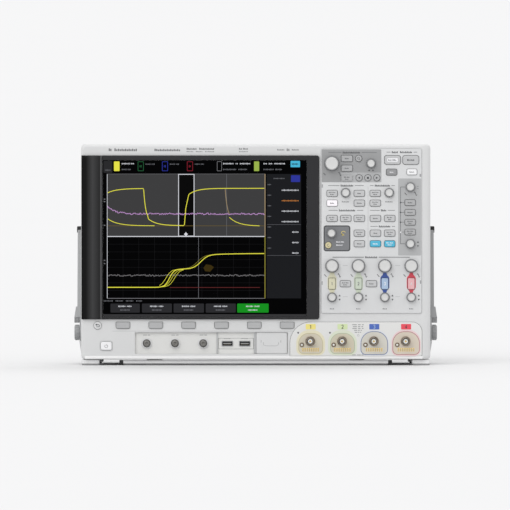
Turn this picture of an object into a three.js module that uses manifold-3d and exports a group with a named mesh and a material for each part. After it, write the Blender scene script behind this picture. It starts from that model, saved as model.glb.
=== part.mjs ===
// A four-channel bench oscilloscope with a bay for digital inputs, as an assembly of separate pieces.
// Millimetres. +X is the user's right, -Y faces the user, +Z is up.
// The origin is on the bench, under the middle of the whole object's box.
import * as THREE from "three";
import { mergeVertices } from "three/addons/utils/BufferGeometryUtils.js";
import Module from "manifold-3d";

const wasm = await Module();
wasm.setup();

// ---- Driving dimensions ----
const GAP = 0.3; // clearance between neighbouring pieces
const WALL = 3; // wall of the plastic mouldings
const CASE = { halfWidth: 217, bottom: 7.2, top: 274.5, corner: 5 };
const FACE_Y = -64; // outer face of the front moulding
const SPLIT_Y = -28; // joint between front moulding and rear case
const BACK_Y = 60; // outer face of the rear wall
const REAR_INSET = 2; // the rear case is this much smaller all round than the front moulding
const DISC_SIDES = 12; // sides of a plain round hole or stud

const SCREEN = { left: -190.1, right: 63.5, bottom: 60, top: 255.1 }; // glass opening
const SURROUND = { left: -216.5, right: 79, bottom: 57.3, top: 260.9, front: -67 };
const SWELL = { front: -69, reach: 13, edge: 0.8 }; // the surround's bulge along its left side
const GLASS_FRONT = -66.6;
const LCD = { thickness: 8, driverFront: 7.5, driverBack: 10.5 }; // panel, and the board on its back
const OVERLAY = { left: 81.7, right: 205.7, bottom: 65.2, top: 269.1, front: -65.6, back: -62.6 };
const INPUTS = { left: 42.6, right: 206.5, bottom: 11.6, top: 53.8, front: -65.4, back: -62.4, hole: 7.2 };
const BAY = { left: -150, right: 40, bottom: 14.2, top: 41.1 }; // recess of the lower connectors
const BAY_PLATE = { front: -60.7, back: -59.2 };

const MAT = { front: -62.3, back: -60.8, keyFront: -67.4 }; // rubber keypad behind the overlay
const BOARD = { front: -58.5, back: -56.9 }; // keyboard circuit board
const KEY_GAP = 0.35; // clearance round a key in its hole
const KEY_BACK = -63.6; // back of a separate key; its travel ends before the rubber keypad
const SHAFT_RADIUS = 2.9;
const SHAFT_BACK = -59.1;
const SHAFT_HOLE = 3.4;
const MAT_SHAFT_HOLE = 4;
const SKIRT_BACK = -66; // back of a knob's skirt, just clear of the overlay
const KNOB = {
  large: { skirt: 9.6, cap: 8.1, tip: -78 },
  medium: { skirt: 8.7, cap: 7.2, tip: -77 },
  small: { skirt: 6.2, cap: 4.8, tip: -75 },
};
const SKIRT_DEPTH = 2.4;

// The four input channels share these columns.
const CHANNELS = [1, 2, 3, 4];
const CONTROL_PITCH = 32.8;
const controlX = (channel) => 94.8 + (channel - 1) * CONTROL_PITCH;
const INPUT_PITCH = 39.5;
const inputX = (channel) => 67.7 + (channel - 1) * INPUT_PITCH;
const INPUT_Z = 30.2;
const COAX = {
  body: 6.9,
  barrel: 4.85,
  bore: 4.1,
  pin: 1,
  back: -46,
  collar: -66.4,
  floor: -68,
  pinTip: -75,
  tip: -77,
  lug: 0.95,
  lugY: -73,
  lugReach: 5.7,
};
const SCALE_Z = 123.7;
const POSITION_Z = 84.7;
const CHANNEL_KEY_Z = 101.6;

// Rotary knobs: node name, centre and size.
const KNOBS = [
  ["horizontal_scale_knob", 94.5, 251, "large"],
  ["horizontal_position_knob", 143.2, 251, "small"],
  ["trigger_level_knob", 111.7, 214.6, "small"],
  ["cursors_knob", 165.8, 214.6, "small"],
  ["entry_knob", 94.1, 164.3, "small"],
  ["multi_scale_knob", 192.1, 221.7, "small"],
  ["multi_position_knob", 192.1, 151.2, "small"],
  ...CHANNELS.map((c) => [`channel_${c}_scale_knob`, controlX(c), SCALE_Z, "medium"]),
  ...CHANNELS.map((c) => [`channel_${c}_position_knob`, controlX(c), POSITION_Z, "small"]),
];

// Separate keys that pass through the overlay: node name, centre, width and height.
const PANEL_KEYS = [
  ["run_stop_key", 169.9, 255.3, 19.7, 10.7],
  ["single_key", 192.6, 255.3, 19.7, 10.7],
  ...CHANNELS.map((c) => [`channel_${c}_key`, controlX(c), CHANNEL_KEY_Z, 8.3, 13.9]),
];

// Soft keys under the screen, and the back and power keys, pass through the front moulding.
const SOFT_KEY = { width: 17.3, height: 8.1, z: 49.8, first: -164.9, pitch: 40.8, count: 6 };
const BACK_KEY = { x: -196.4, z: 49.6, radius: 4.8 };
const POWER_KEY = { x: -185.7, z: 24.1, width: 13.8, height: 10.3 };
const FACE_KEY = { front: -65.8, back: -61.4 };

// Pads of the rubber keypad: centre, width and height. Rows and columns of the control sections.
const PAD = { width: 13, height: 7.5 };
const ROUND_PAD = 3.9;
const PADS = [
  ...[257.1, 245, 232.8].map((z) => [113.3, z, 13.9, PAD.height]), // horizontal
  [168.8, 240.2, PAD.width, PAD.height], // default set-up
  [194, 240.4, 12.3, 7], // automatic set-up
  ...[95, 128.7].flatMap((x) => [213.8, 201.7].map((z) => [x, z, PAD.width, PAD.height])), // trigger
  ...[213.8, 201.7].map((z) => [148.5, z, PAD.width, PAD.height]), // measure
  ...[94.8, 111.8, 128.7].map((x) => [x, 182.7, PAD.width, PAD.height]), // waveform
  ...[148.7, 166.4].map((x) => [x, 182.7, PAD.width, PAD.height]), // file
  ...[128.7, 148.7, 166.4].flatMap((x) => [164.3, 151.2].map((z) => [x, z, PAD.width, PAD.height])),
  ...[0, 1, 2, 3].map((i) => [191.8, 202.3 - i * 12.2, PAD.width, 7]), // multiplexed column
  ...[111.4, 143.8].map((x) => [x, CHANNEL_KEY_Z, PAD.width, PAD.height]), // between the channels
];
const ROUND_PADS = [
  [127.9, 257.1],
  ...[128.4, 139.3, 150.4].map((x) => [x, 233.1]),
  [90.2, 149.4],
];

const TERMINAL = { radius: 4.3, z: 27.4, first: -135.5, pitch: 35.15, count: 3, front: -67, back: -58 };
const TERMINAL_STRIP = { left: -144, right: -57, halfHeight: 7, back: -57.2 };
const USB = { left: -35.3, right: -13.5, z: 27, width: 13.8, height: 6.8, front: -61.7, back: -46 };
const USB_MOUTH = { width: 12.4, height: 5.2, depth: 11.5 };
const USB_FRAME = { left: -46, right: -2.8, bottom: 20.5, top: 33.5 }; // face of the twin port's housing
const USB_BASE = { margin: 4, front: -49.5, halfHeight: 6 };
const BLANK = { left: 1.2, right: 38.6, bottom: 14.8, top: 40.5, front: -63, back: -61 };

const FAN = { x: 130, z: 95, size: 80, front: 31.7, back: 56.7, bore: 38, rotor: 36.5, hub: 16 };
const FAN_ARM = { halfWidth: 2, front: 3, back: 0.5 }; // spokes of the fan frame, measured from its back
const FAN_MOTOR = { radius: 14, depth: 3 };
const BLADES = 7;
const BLADE = { thickness: 1.4, overlap: 2, clearance: 1.2 };
const SIDE_VENTS = { count: 11, first: -16, pitch: 6, width: 3, bottom: 195, top: 245 };
const GRILLE = { reach: 4, pitch: 8, halfSlot: 2.4, radius: 36 }; // slots behind the fan
const REAR_CUT_FRONT = 50; // openings of the rear wall are cut from here back

const REAR_PLATE = { left: -60, right: 40, bottom: 30, top: 72, margin: 3, front: 55, back: 56.7 };
const INLET = {
  x: -150,
  z: 39,
  width: 27,
  height: 20,
  mouthWidth: 23,
  mouthHeight: 16,
  front: 38,
  floor: 44,
};
const INLET_FLANGE = { halfWidth: 25, halfHeight: 13, back: 62.8 };
const JACK = {
  x: -40,
  z: 50,
  width: 16,
  height: 14,
  mouthWidth: 11.7,
  mouthHeight: 8.4,
  front: 40,
  floor: 47,
};
const DEVICE_PORT = {
  x: -16,
  z: 50,
  width: 12,
  height: 12,
  mouthWidth: 8.4,
  mouthHeight: 7.6,
  front: 44,
  floor: 50,
};
const VIDEO_PORT = { x: 8, z: 50, width: 18, height: 9, front: 48 };
const SOCKET_BACK = 60.5; // outer face of the two wired sockets
const VIDEO_BACK = 61.5;
const REAR_JACKS = [
  [29, 60],
  [29, 41],
]; // two small coaxial jacks
const REAR_COAX = { body: 6, barrel: 4.85, bore: 4.1, front: 45, collar: 58, floor: 59, tip: 67 };

const CHASSIS = { front: -38, back: 48, bottom: 14, top: 262, sheet: 1.5, upperFlange: 0, halfWidth: 205 };
const CHASSIS_WINDOWS = { xs: [-120, 0, 120], halfWidth: 22, bottom: 190, top: 240 };
const MAIN_BOARD = { left: -150, right: 203, front: -43.6, back: -42, bottom: 18, top: 150 };
const SHIELD = { halfWidth: 14, front: -45.7, top: 60 }; // cans over the four input stages
const HEATSINK = { left: -60, right: -10, front: -46.5, bottom: 80, top: 130 };
const SUPPLY = { left: -190, right: -70, front: -20, back: 34, bottom: 18, top: 110, sheet: 1.2 };
const SUPPLY_CORE = { left: -150, right: -110, front: -19, back: 20, bottom: 50, top: 90 };

const PIVOT = { y: 10, z: 39 }; // handle's hinge line
const GRIP = { y: 70, z: 166, radius: 8, bar: 5 };
const ARM = { inner: 217.5, outer: 222.6, eyeOuter: 219.5, eye: 12, hole: 6.4, halfWidth: 6.5 };
const ARM_NECK = { end: 20, halfWidth: 8 };
const SHOULDER = { start: 15, end: 32, outer: 226.2, topOuter: 224.2, halfWidth: 8.5 }; // thick root of the arm
const HUB = { boss: 6, cap: 9.75, inner: 215.3, shoulder: 219.8, outer: 226 };

const STAND = {
  axisY: 2,
  axisZ: 4.4,
  barFront: -59,
  barBack: -51,
  bottom: 0.8,
  barTop: 6.4,
  halfWidth: 169.4,
};
const STAND_LEG = { inner: 120, outer: 132, bottom: 2, top: 6 };
const STAND_PIN = 1.1;
const STAND_KNUCKLE = 2.5;
const STAND_LUG = { spans: [[116.5, 119.2], [132.8, 135.5]], halfDepth: 3.2, bottom: 1.6, top: 12 };
const FOOT = { inner: 194, outer: 216.5, front: -60, back: -38, top: 6.9 };
const REAR_FOOT = { inner: 190, outer: 212, front: 30, back: 56 };
const LOWER_FLARE = { front: -26, back: -8, bottom: 9.5, top: 29, bottomX: 216.5, topX: 219.6 };

// ---- Materials ----
const looks = {
  shell: { color: 0xdadbdb, roughness: 0.45, metalness: 0 },
  dark: { color: 0x2b2c2e, roughness: 0.4, metalness: 0 },
  glass: { color: 0x050506, roughness: 0.08, metalness: 0 },
  overlay: { color: 0xcdcecf, roughness: 0.5, metalness: 0 },
  panel: { color: 0xd6d5d0, roughness: 0.5, metalness: 0 },
  knob: { color: 0xe9e9e7, roughness: 0.4, metalness: 0 },
  key: { color: 0xbfc0c1, roughness: 0.55, metalness: 0 },
  channelYellow: { color: 0xd9d3a0, roughness: 0.5, metalness: 0 },
  channelGreen: { color: 0xbcd2b4, roughness: 0.5, metalness: 0 },
  channelBlue: { color: 0xa9bfd8, roughness: 0.5, metalness: 0 },
  channelRed: { color: 0xe0a9ae, roughness: 0.5, metalness: 0 },
  rubber: { color: 0x161616, roughness: 0.8, metalness: 0 },
  steel: { color: 0xb9bbbd, roughness: 0.35, metalness: 1 },
  brass: { color: 0xc8a35a, roughness: 0.3, metalness: 1 },
  arm: { color: 0xa5a6a8, roughness: 0.5, metalness: 0 },
  board: { color: 0x1f5a34, roughness: 0.6, metalness: 0 },
};

// ---- Solid modelling helpers ----
function solidOf(geometry) {
  const bare = geometry.clone();
  bare.deleteAttribute("normal");
  bare.deleteAttribute("uv");
  const merged = mergeVertices(bare, 1e-4);
  const vertProperties = new Float32Array(merged.attributes.position.array);
  const triVerts = new Uint32Array(merged.index.array);
  return new wasm.Manifold(new wasm.Mesh({ numProp: 3, vertProperties, triVerts }));
}

function geometryOf(solid) {
  const mesh = solid.getMesh();
  const geometry = new THREE.BufferGeometry();
  geometry.setAttribute("position", new THREE.BufferAttribute(new Float32Array(mesh.vertProperties), 3));
  geometry.setIndex(new THREE.BufferAttribute(new Uint32Array(mesh.triVerts), 1));
  const flat = geometry.toNonIndexed();
  flat.computeVertexNormals();
  return flat;
}

const joined = (...parts) => geometryOf(parts.map(solidOf).reduce((a, b) => a.add(b)));

function cut(body, ...tools) {
  return geometryOf(tools.map(solidOf).reduce((a, b) => a.subtract(b), solidOf(body)));
}

// A box between two corners.
function block(x0, x1, y0, y1, z0, z1) {
  const box = new THREE.BoxGeometry(x1 - x0, y1 - y0, z1 - z0);
  return box.translate((x0 + x1) / 2, (y0 + y1) / 2, (z0 + z1) / 2);
}

// A closed outline with chamfered corners, in X and Z.
function chamfered(x0, x1, z0, z1, corner, Kind = THREE.Shape) {
  const outline = new Kind();
  outline.moveTo(x0 + corner, z0);
  outline.lineTo(x1 - corner, z0);
  outline.lineTo(x1, z0 + corner);
  outline.lineTo(x1, z1 - corner);
  outline.lineTo(x1 - corner, z1);
  outline.lineTo(x0 + corner, z1);
  outline.lineTo(x0, z1 - corner);
  outline.lineTo(x0, z0 + corner);
  outline.closePath();
  return outline;
}

// A closed outline with four round corners: bottom left, bottom right, top right, top left.
function rounded(x0, x1, z0, z1, radii, Kind = THREE.Shape) {
  const [bl, br, tr, tl] = radii;
  const outline = new Kind();
  outline.moveTo(x0 + bl, z0);
  outline.lineTo(x1 - br, z0);
  outline.absarc(x1 - br, z0 + br, br, -Math.PI / 2, 0, false);
  outline.absarc(x1 - tr, z1 - tr, tr, 0, Math.PI / 2, false);
  outline.absarc(x0 + tl, z1 - tl, tl, Math.PI / 2, Math.PI, false);
  outline.absarc(x0 + bl, z0 + bl, bl, Math.PI, Math.PI * 1.5, false);
  outline.closePath();
  return outline;
}

// A regular outline round a centre.
function disc(x, z, radius, Kind = THREE.Shape, sides = DISC_SIDES) {
  const corners = Array.from({ length: sides }, (_, i) => {
    const angle = (i / sides) * Math.PI * 2;
    return new THREE.Vector2(x + radius * Math.cos(angle), z + radius * Math.sin(angle));
  });
  return new Kind(corners);
}

const keyHole = (x, z, width, height) =>
  chamfered(
    x - width / 2 - KEY_GAP,
    x + width / 2 + KEY_GAP,
    z - height / 2 - KEY_GAP,
    z + height / 2 + KEY_GAP,
    1.2,
    THREE.Path,
  );

// An outline in X and Z, extruded from yFront back to yBack.
function plate(shape, yFront, yBack, segments = 3) {
  const options = { depth: yBack - yFront, bevelEnabled: false, curveSegments: segments };
  return new THREE.ExtrudeGeometry(shape, options).rotateX(Math.PI / 2).translate(0, yBack, 0);
}

// A profile in Y and Z, extruded between two X positions.
function barAlongX(profile, x0, x1) {
  const shape = new THREE.Shape(profile.map(([y, z]) => new THREE.Vector2(y, z)));
  const options = { depth: x1 - x0, bevelEnabled: false };
  const turn = new THREE.Matrix4().set(0, 0, 1, 0, 1, 0, 0, 0, 0, 1, 0, 0, 0, 0, 0, 1);
  return new THREE.ExtrudeGeometry(shape, options).applyMatrix4(turn).translate(x0, 0, 0);
}

// A solid of revolution about a line along Y. The profile gives radius and Y, from back to front.
function turned(x, z, profile, segments) {
  const points = profile.map(([radius, y]) => new THREE.Vector2(radius, -y));
  return new THREE.LatheGeometry(points, segments).rotateX(Math.PI).translate(x, 0, z);
}

// The same stretch of X on the right (side 1) or mirrored to the left (side -1), in rising order.
const mirrored = (side, a, b) => (side > 0 ? [a, b] : [-b, -a]);

// A cylinder along X, between two X positions.
function rodAlongX(x0, x1, y, z, radius, segments = 16) {
  const rod = new THREE.CylinderGeometry(radius, radius, x1 - x0, segments);
  return rod.rotateZ(Math.PI / 2).translate((x0 + x1) / 2, y, z);
}

const assembly = new THREE.Group();

function add(name, geometry, look) {
  const mesh = new THREE.Mesh(geometry, new THREE.MeshStandardMaterial(looks[look]));
  mesh.name = name;
  assembly.add(mesh);
}

// ---- Front of the case ----
function inputOutline(grow, Kind) {
  const radii = [2 + grow, 2 + grow, 12 + grow, 26 + grow];
  const { left, right, bottom, top } = INPUTS;
  return rounded(left - grow, right + grow, bottom - grow, top + grow, radii, Kind);
}

const softKeyX = (i) => SOFT_KEY.first + i * SOFT_KEY.pitch;
const softKeyIndexes = Array.from({ length: SOFT_KEY.count }, (_, i) => i);

function frontBezel() {
  const { halfWidth, bottom, top, corner } = CASE;
  const radii = [corner, corner, corner, corner];
  const face = rounded(-halfWidth, halfWidth, bottom, top, radii);
  face.holes.push(
    chamfered(SCREEN.left + 3, SCREEN.right - 3, SCREEN.bottom + 3, SCREEN.top - 3, 2, THREE.Path),
    chamfered(
      OVERLAY.left - GAP,
      OVERLAY.right + GAP,
      OVERLAY.bottom - GAP,
      OVERLAY.top + GAP,
      2,
      THREE.Path,
    ),
    inputOutline(GAP, THREE.Path),
    chamfered(BAY.left, BAY.right, BAY.bottom, BAY.top, 1.5, THREE.Path),
    disc(BACK_KEY.x, BACK_KEY.z, BACK_KEY.radius + KEY_GAP, THREE.Path),
    keyHole(POWER_KEY.x, POWER_KEY.z, POWER_KEY.width, POWER_KEY.height),
    ...softKeyIndexes.map((i) => keyHole(softKeyX(i), SOFT_KEY.z, SOFT_KEY.width, SOFT_KEY.height)),
  );
  const rim = rounded(-halfWidth, halfWidth, bottom, top, radii);
  const innerRadii = radii.map((r) => r - WALL);
  const inner = [-halfWidth + WALL, halfWidth - WALL, bottom + WALL, top - WALL];
  rim.holes.push(rounded(...inner, innerRadii, THREE.Path));
  return joined(plate(face, FACE_Y, FACE_Y + WALL, 4), plate(rim, FACE_Y + WALL - 0.5, SPLIT_Y, 4));
}

// The dark surround swells out at its left side and is open over the glass.
function displaySurround() {
  const back = FACE_Y - GAP;
  const { left, right, bottom, top, front } = SURROUND;
  const profile = new THREE.Shape();
  profile.moveTo(left, back);
  profile.lineTo(left, back - SWELL.edge);
  profile.quadraticCurveTo(left + 2, SWELL.front, left + SWELL.reach, SWELL.front);
  profile.lineTo(SCREEN.left, front);
  profile.lineTo(right, front);
  profile.lineTo(right, back);
  profile.closePath();
  const options = { depth: top - bottom, bevelEnabled: false, curveSegments: 6 };
  const body = new THREE.ExtrudeGeometry(profile, options).translate(0, 0, bottom);
  return cut(body, block(SCREEN.left, SCREEN.right, SWELL.front - 1, back + 1, SCREEN.bottom, SCREEN.top));
}

function touchGlass() {
  const { left, right, bottom, top } = SCREEN;
  return block(left + GAP, right - GAP, GLASS_FRONT, FACE_Y - GAP, bottom + GAP, top - GAP);
}

function lcdModule() {
  const { left, right, bottom, top } = SCREEN;
  const front = FACE_Y + WALL + GAP;
  const { thickness, driverFront, driverBack } = LCD;
  const panel = block(left - 2, right + 2.5, front, front + thickness, bottom - 3, top + 2);
  const depth = [front + driverFront, front + driverBack];
  const driver = block(left + 40, left + 200, ...depth, bottom + 20, bottom + 60);
  return joined(panel, driver);
}

function controlOverlay() {
  const { left, right, bottom, top, front, back } = OVERLAY;
  const sheet = chamfered(left, right, bottom, top, 1.7);
  sheet.holes.push(
    ...PANEL_KEYS.map(([, x, z, w, h]) => keyHole(x, z, w, h)),
    ...PADS.map((pad) => keyHole(...pad)),
    ...KNOBS.map(([, x, z]) => disc(x, z, SHAFT_HOLE, THREE.Path)),
    ...ROUND_PADS.map(([x, z]) => disc(x, z, ROUND_PAD + KEY_GAP, THREE.Path)),
  );
  return plate(sheet, front, back, 3);
}

// One rubber sheet carries all the keys that are moulded with it.
function keypadMat() {
  const { left, right, bottom, top } = OVERLAY;
  const sheet = chamfered(left + 2.3, right - 2.7, bottom + 1.8, top - 2, 2);
  sheet.holes.push(...KNOBS.map(([, x, z]) => disc(x, z, MAT_SHAFT_HOLE, THREE.Path)));
  const padBack = MAT.front + 0.5;
  const pads = PADS.map(([x, z, w, h]) =>
    plate(chamfered(x - w / 2, x + w / 2, z - h / 2, z + h / 2, 1.1), MAT.keyFront, padBack),
  );
  const rounds = ROUND_PADS.map(([x, z]) => plate(disc(x, z, ROUND_PAD), MAT.keyFront, padBack));
  return joined(plate(sheet, MAT.front, MAT.back), ...pads, ...rounds);
}

// The keyboard board also reaches under the screen to the soft keys and the power key.
function keyboardBoard() {
  const outline = [
    [203, 267],
    [84, 267],
    [84, 55.4],
    [-206, 55.4],
    [-206, 14],
    [-156, 14],
    [-156, 44.6],
    [203, 44.6],
  ];
  const shape = new THREE.Shape(outline.map(([x, z]) => new THREE.Vector2(x, z)));
  return plate(shape, BOARD.front, BOARD.back);
}

// A knob is a skirt, a cap and the shaft that carries both.
function knob(x, z, size) {
  const { skirt, cap, tip } = KNOB[size];
  const profile = [
    [0, SHAFT_BACK],
    [SHAFT_RADIUS, SHAFT_BACK],
    [SHAFT_RADIUS, SKIRT_BACK],
    [skirt, SKIRT_BACK],
    [skirt, SKIRT_BACK - SKIRT_DEPTH],
    [cap + 0.4, SKIRT_BACK - 4],
    [cap, tip + 1],
    [cap - 1, tip],
    [0, tip],
  ];
  return turned(x, z, profile, size === "small" ? 12 : 16);
}

function panelKey(x, z, width, height, front, back) {
  const shape = chamfered(x - width / 2, x + width / 2, z - height / 2, z + height / 2, 1.1);
  return plate(shape, front, back);
}

// ---- Lower front ----
function inputPanel() {
  const face = inputOutline(0, THREE.Shape);
  face.holes.push(...CHANNELS.map((c) => disc(inputX(c), INPUT_Z, INPUTS.hole, THREE.Path)));
  return plate(face, INPUTS.front, INPUTS.back, 5);
}

// A coaxial bayonet jack: body behind the panel, hollow barrel, centre contact and two lugs.
function channelInput(channel) {
  const x = inputX(channel);
  const { body, barrel, bore, pin, back, collar, floor, pinTip, tip, lug, lugY, lugReach } = COAX;
  const profile = [
    [0, back],
    [body, back],
    [body, collar],
    [barrel, collar],
    [barrel, tip],
    [bore, tip],
    [bore, floor],
    [pin, floor],
    [pin, pinTip],
    [0, pinTip],
  ];
  const shell = turned(x, INPUT_Z, profile, 20);
  const stud = new THREE.CylinderGeometry(lug, lug, 2 * lugReach, 8).translate(x, lugY, INPUT_Z);
  const space = new THREE.CylinderGeometry(bore, bore, 12, 20).translate(x, floor - 6.2, INPUT_Z);
  return joined(shell, cut(stud, space));
}

const terminalXs = Array.from({ length: TERMINAL.count }, (_, i) => TERMINAL.first + i * TERMINAL.pitch);

function connectorPanel() {
  const sheet = chamfered(BAY.left - 3, BAY.right + 2, BAY.bottom - 3, BAY.top + 2.6, 1);
  const { left, right, bottom, top } = USB_FRAME;
  sheet.holes.push(
    chamfered(left - GAP, right + GAP, bottom - GAP, top + GAP, 0.8, THREE.Path),
    ...terminalXs.map((x) => disc(x, TERMINAL.z, TERMINAL.radius + 0.4, THREE.Path)),
  );
  return plate(sheet, BAY_PLATE.front, BAY_PLATE.back, 4);
}

// Three studs on one insulating strip.
function testTerminals() {
  const { left, right, halfHeight, back: stripBack } = TERMINAL_STRIP;
  const { radius, z, front, back } = TERMINAL;
  const strip = block(left, right, BAY_PLATE.back + GAP, stripBack, z - halfHeight, z + halfHeight);
  const profile = [
    [0, back],
    [radius, back],
    [radius, front + 1],
    [radius - 1, front],
    [0, front],
  ];
  return joined(strip, ...terminalXs.map((x) => turned(x, z, profile, 14)));
}

function usbPorts() {
  const boxAt = (x, { width, height }, front, back) =>
    block(x - width / 2, x + width / 2, front, back, USB.z - height / 2, USB.z + height / 2);
  const ports = [USB.left, USB.right];
  const shells = ports.map((x) => boxAt(x, USB, USB.front, USB.back));
  const mouths = ports.map((x) => boxAt(x, USB_MOUTH, USB.front - 1, USB.front + USB_MOUTH.depth));
  const { left, right, bottom, top } = USB_FRAME;
  const { margin, front, halfHeight } = USB_BASE;
  const face = plate(chamfered(left, right, bottom, top, 0.6), BAY_PLATE.front, BAY_PLATE.back);
  const base = block(left + margin, right - margin, front, USB.back, USB.z - halfHeight, USB.z + halfHeight);
  return cut(joined(base, face, ...shells), ...mouths);
}

function digitalBlank() {
  const { left, right, bottom, top, front, back } = BLANK;
  return plate(chamfered(left, right, bottom, top, 1), front, back);
}

// ---- Rear case and what is inside it ----
function handleFlare(side) {
  const inner = CASE.halfWidth - 4;
  const { front, back, bottom, top, bottomX, topX } = LOWER_FLARE;
  const outline = [
    [inner, top],
    [topX, top],
    [bottomX, bottom],
    [inner, bottom],
  ];
  const shape = new THREE.Shape(outline.map(([x, z]) => new THREE.Vector2(side * x, z)));
  return plate(shape, front, back);
}

function standLugs(side) {
  const { spans, halfDepth, bottom, top } = STAND_LUG;
  return spans.map(([a, b]) => {
    const [x0, x1] = mirrored(side, a, b);
    const lug = block(x0, x1, STAND.axisY - halfDepth, STAND.axisY + halfDepth, bottom, top);
    return cut(lug, rodAlongX(x0 - 1, x1 + 1, STAND.axisY, STAND.axisZ, STAND_PIN + 0.4, 10));
  });
}

// A row of upright slots through one side wall.
function sideVents(side, halfWidth) {
  const { count, first, pitch, width, bottom, top } = SIDE_VENTS;
  const xs = mirrored(side, halfWidth - WALL - 1, halfWidth + 2);
  return Array.from({ length: count }, (_, i) => {
    const y = first + i * pitch;
    return block(...xs, y, y + width, bottom, top);
  });
}

// Upright slots through the rear wall behind the fan, together a disc.
function fanGrille() {
  const { reach, pitch, halfSlot, radius } = GRILLE;
  return Array.from({ length: 2 * reach + 1 }, (_, k) => {
    const offset = (k - reach) * pitch;
    const x = FAN.x + offset;
    const half = Math.sqrt(radius ** 2 - offset ** 2);
    return block(x - halfSlot, x + halfSlot, REAR_CUT_FRONT, BACK_Y + 1, FAN.z - half, FAN.z + half);
  });
}

function rearCase() {
  const halfWidth = CASE.halfWidth - REAR_INSET;
  const bottom = CASE.bottom + 1.3;
  const top = CASE.top - REAR_INSET;
  const front = SPLIT_Y + GAP;
  const outside = rounded(-halfWidth, halfWidth, bottom, top, [4, 4, 4, 4]);
  const inside = [-halfWidth + WALL, halfWidth - WALL, bottom + WALL, top - WALL, 1.5];
  const shell = cut(plate(outside, front, BACK_Y, 4), plate(chamfered(...inside), front - 1, BACK_Y - WALL));
  const feet = [1, -1].map((side) => {
    const xs = mirrored(side, REAR_FOOT.inner, REAR_FOOT.outer);
    return block(...xs, REAR_FOOT.front, REAR_FOOT.back, 0, bottom + 1);
  });
  const openings = [
    ...sideVents(1, halfWidth),
    ...sideVents(-1, halfWidth),
    ...fanGrille(),
    block(REAR_PLATE.left, REAR_PLATE.right, REAR_CUT_FRONT, BACK_Y + 1, REAR_PLATE.bottom, REAR_PLATE.top),
    block(
      INLET.x - INLET.width / 2 - 0.5,
      INLET.x + INLET.width / 2 + 0.5,
      REAR_CUT_FRONT,
      BACK_Y + 1,
      INLET.z - INLET.height / 2 - 0.5,
      INLET.z + INLET.height / 2 + 0.5,
    ),
  ];
  const body = cut(shell, ...openings);
  return joined(body, ...feet, handleFlare(1), handleFlare(-1), ...standLugs(1), ...standLugs(-1));
}

// One folded sheet: an upright wall with a lower and an upper flange.
function chassis() {
  const { front, back, bottom, top, sheet, upperFlange, halfWidth } = CHASSIS;
  const profile = [
    [front, bottom],
    [back, bottom],
    [back, bottom + sheet],
    [front + sheet, bottom + sheet],
    [front + sheet, top - sheet],
    [upperFlange, top - sheet],
    [upperFlange, top],
    [front, top],
  ];
  const { xs, halfWidth: half, bottom: sill, top: head } = CHASSIS_WINDOWS;
  const windows = xs.map((x) => block(x - half, x + half, front - 2, front + 4, sill, head));
  return cut(barAlongX(profile, -halfWidth, halfWidth), ...windows);
}

function acquisitionBoard() {
  const { left, right, front, back, bottom, top } = MAIN_BOARD;
  const board = block(left, right, front, back, bottom, top);
  const seat = front + 0.6; // cans and heatsink run this far into the board
  const shields = CHANNELS.map((c) => {
    const x = inputX(c);
    return block(x - SHIELD.halfWidth, x + SHIELD.halfWidth, SHIELD.front, seat, bottom, SHIELD.top);
  });
  const sink = block(HEATSINK.left, HEATSINK.right, HEATSINK.front, seat, HEATSINK.bottom, HEATSINK.top);
  return joined(board, ...shields, sink);
}

function powerSupply() {
  const { left, right, front, back, bottom, top, sheet: t } = SUPPLY;
  const cage = block(left, right, front, back, bottom, top);
  const hollow = block(left + t, right - t, front + t, back + 1, bottom + t, top - t);
  const core = SUPPLY_CORE;
  return joined(
    cut(cage, hollow),
    block(core.left, core.right, core.front, core.back, core.bottom, core.top),
  );
}

function fanFrame() {
  const { x, z, size, front, back, bore } = FAN;
  const half = size / 2;
  const frame = chamfered(x - half, x + half, z - half, z + half, 4);
  frame.holes.push(disc(x, z, bore, THREE.Path, 24));
  const { halfWidth, front: armFront, back: armBack } = FAN_ARM;
  const reach = bore + 1;
  const depth = [back - armFront, back - armBack];
  const arms = [
    block(x - reach, x + reach, ...depth, z - halfWidth, z + halfWidth),
    block(x - halfWidth, x + halfWidth, ...depth, z - reach, z + reach),
  ];
  const { radius, depth: motorDepth } = FAN_MOTOR;
  const motor = [
    [0, back - armBack],
    [radius, back - armBack],
    [radius, back - armBack - motorDepth],
    [0, back - armBack - motorDepth],
  ];
  return joined(plate(frame, front, back), ...arms, turned(x, z, motor, 16));
}

// The hub and the seven twisted blades turn together.
function fanRotor() {
  const { x, z, front, back, rotor, hub } = FAN;
  const rear = back - 4;
  const profile = [
    [0, rear],
    [hub, rear],
    [hub, front + 1.5],
    [hub - 1.5, front + 0.5],
    [0, front + 0.5],
  ];
  const blades = Array.from({ length: BLADES }, (_, i) => {
    const length = rotor - hub + BLADE.overlap;
    const blade = new THREE.BoxGeometry(length, BLADE.thickness, rear - front + 3);
    blade.rotateX(Math.PI / 4);
    blade.scale(1, 0.9, 0.62); // flattens the turned blade until it fits between the frame's faces
    blade.translate((rotor + hub) / 2 - BLADE.clearance, 0, 0);
    blade.rotateX(Math.PI / 2);
    blade.rotateY((i * 2 * Math.PI) / BLADES);
    return blade.translate(x, (front + rear) / 2, z);
  });
  return joined(turned(x, z, profile, 21), ...blades);
}

function acInlet() {
  const { x, z, width, height, mouthWidth, mouthHeight, front, floor } = INLET;
  const { halfWidth, halfHeight, back } = INLET_FLANGE;
  const flange = block(x - halfWidth, x + halfWidth, BACK_Y + GAP, back, z - halfHeight, z + halfHeight);
  const body = block(x - width / 2, x + width / 2, front, BACK_Y + 1, z - height / 2, z + height / 2);
  const mouth = chamfered(
    x - mouthWidth / 2,
    x + mouthWidth / 2,
    z - mouthHeight / 2,
    z + mouthHeight / 2,
    3,
  );
  return cut(joined(flange, body), plate(mouth, floor, back + 1));
}

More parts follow.
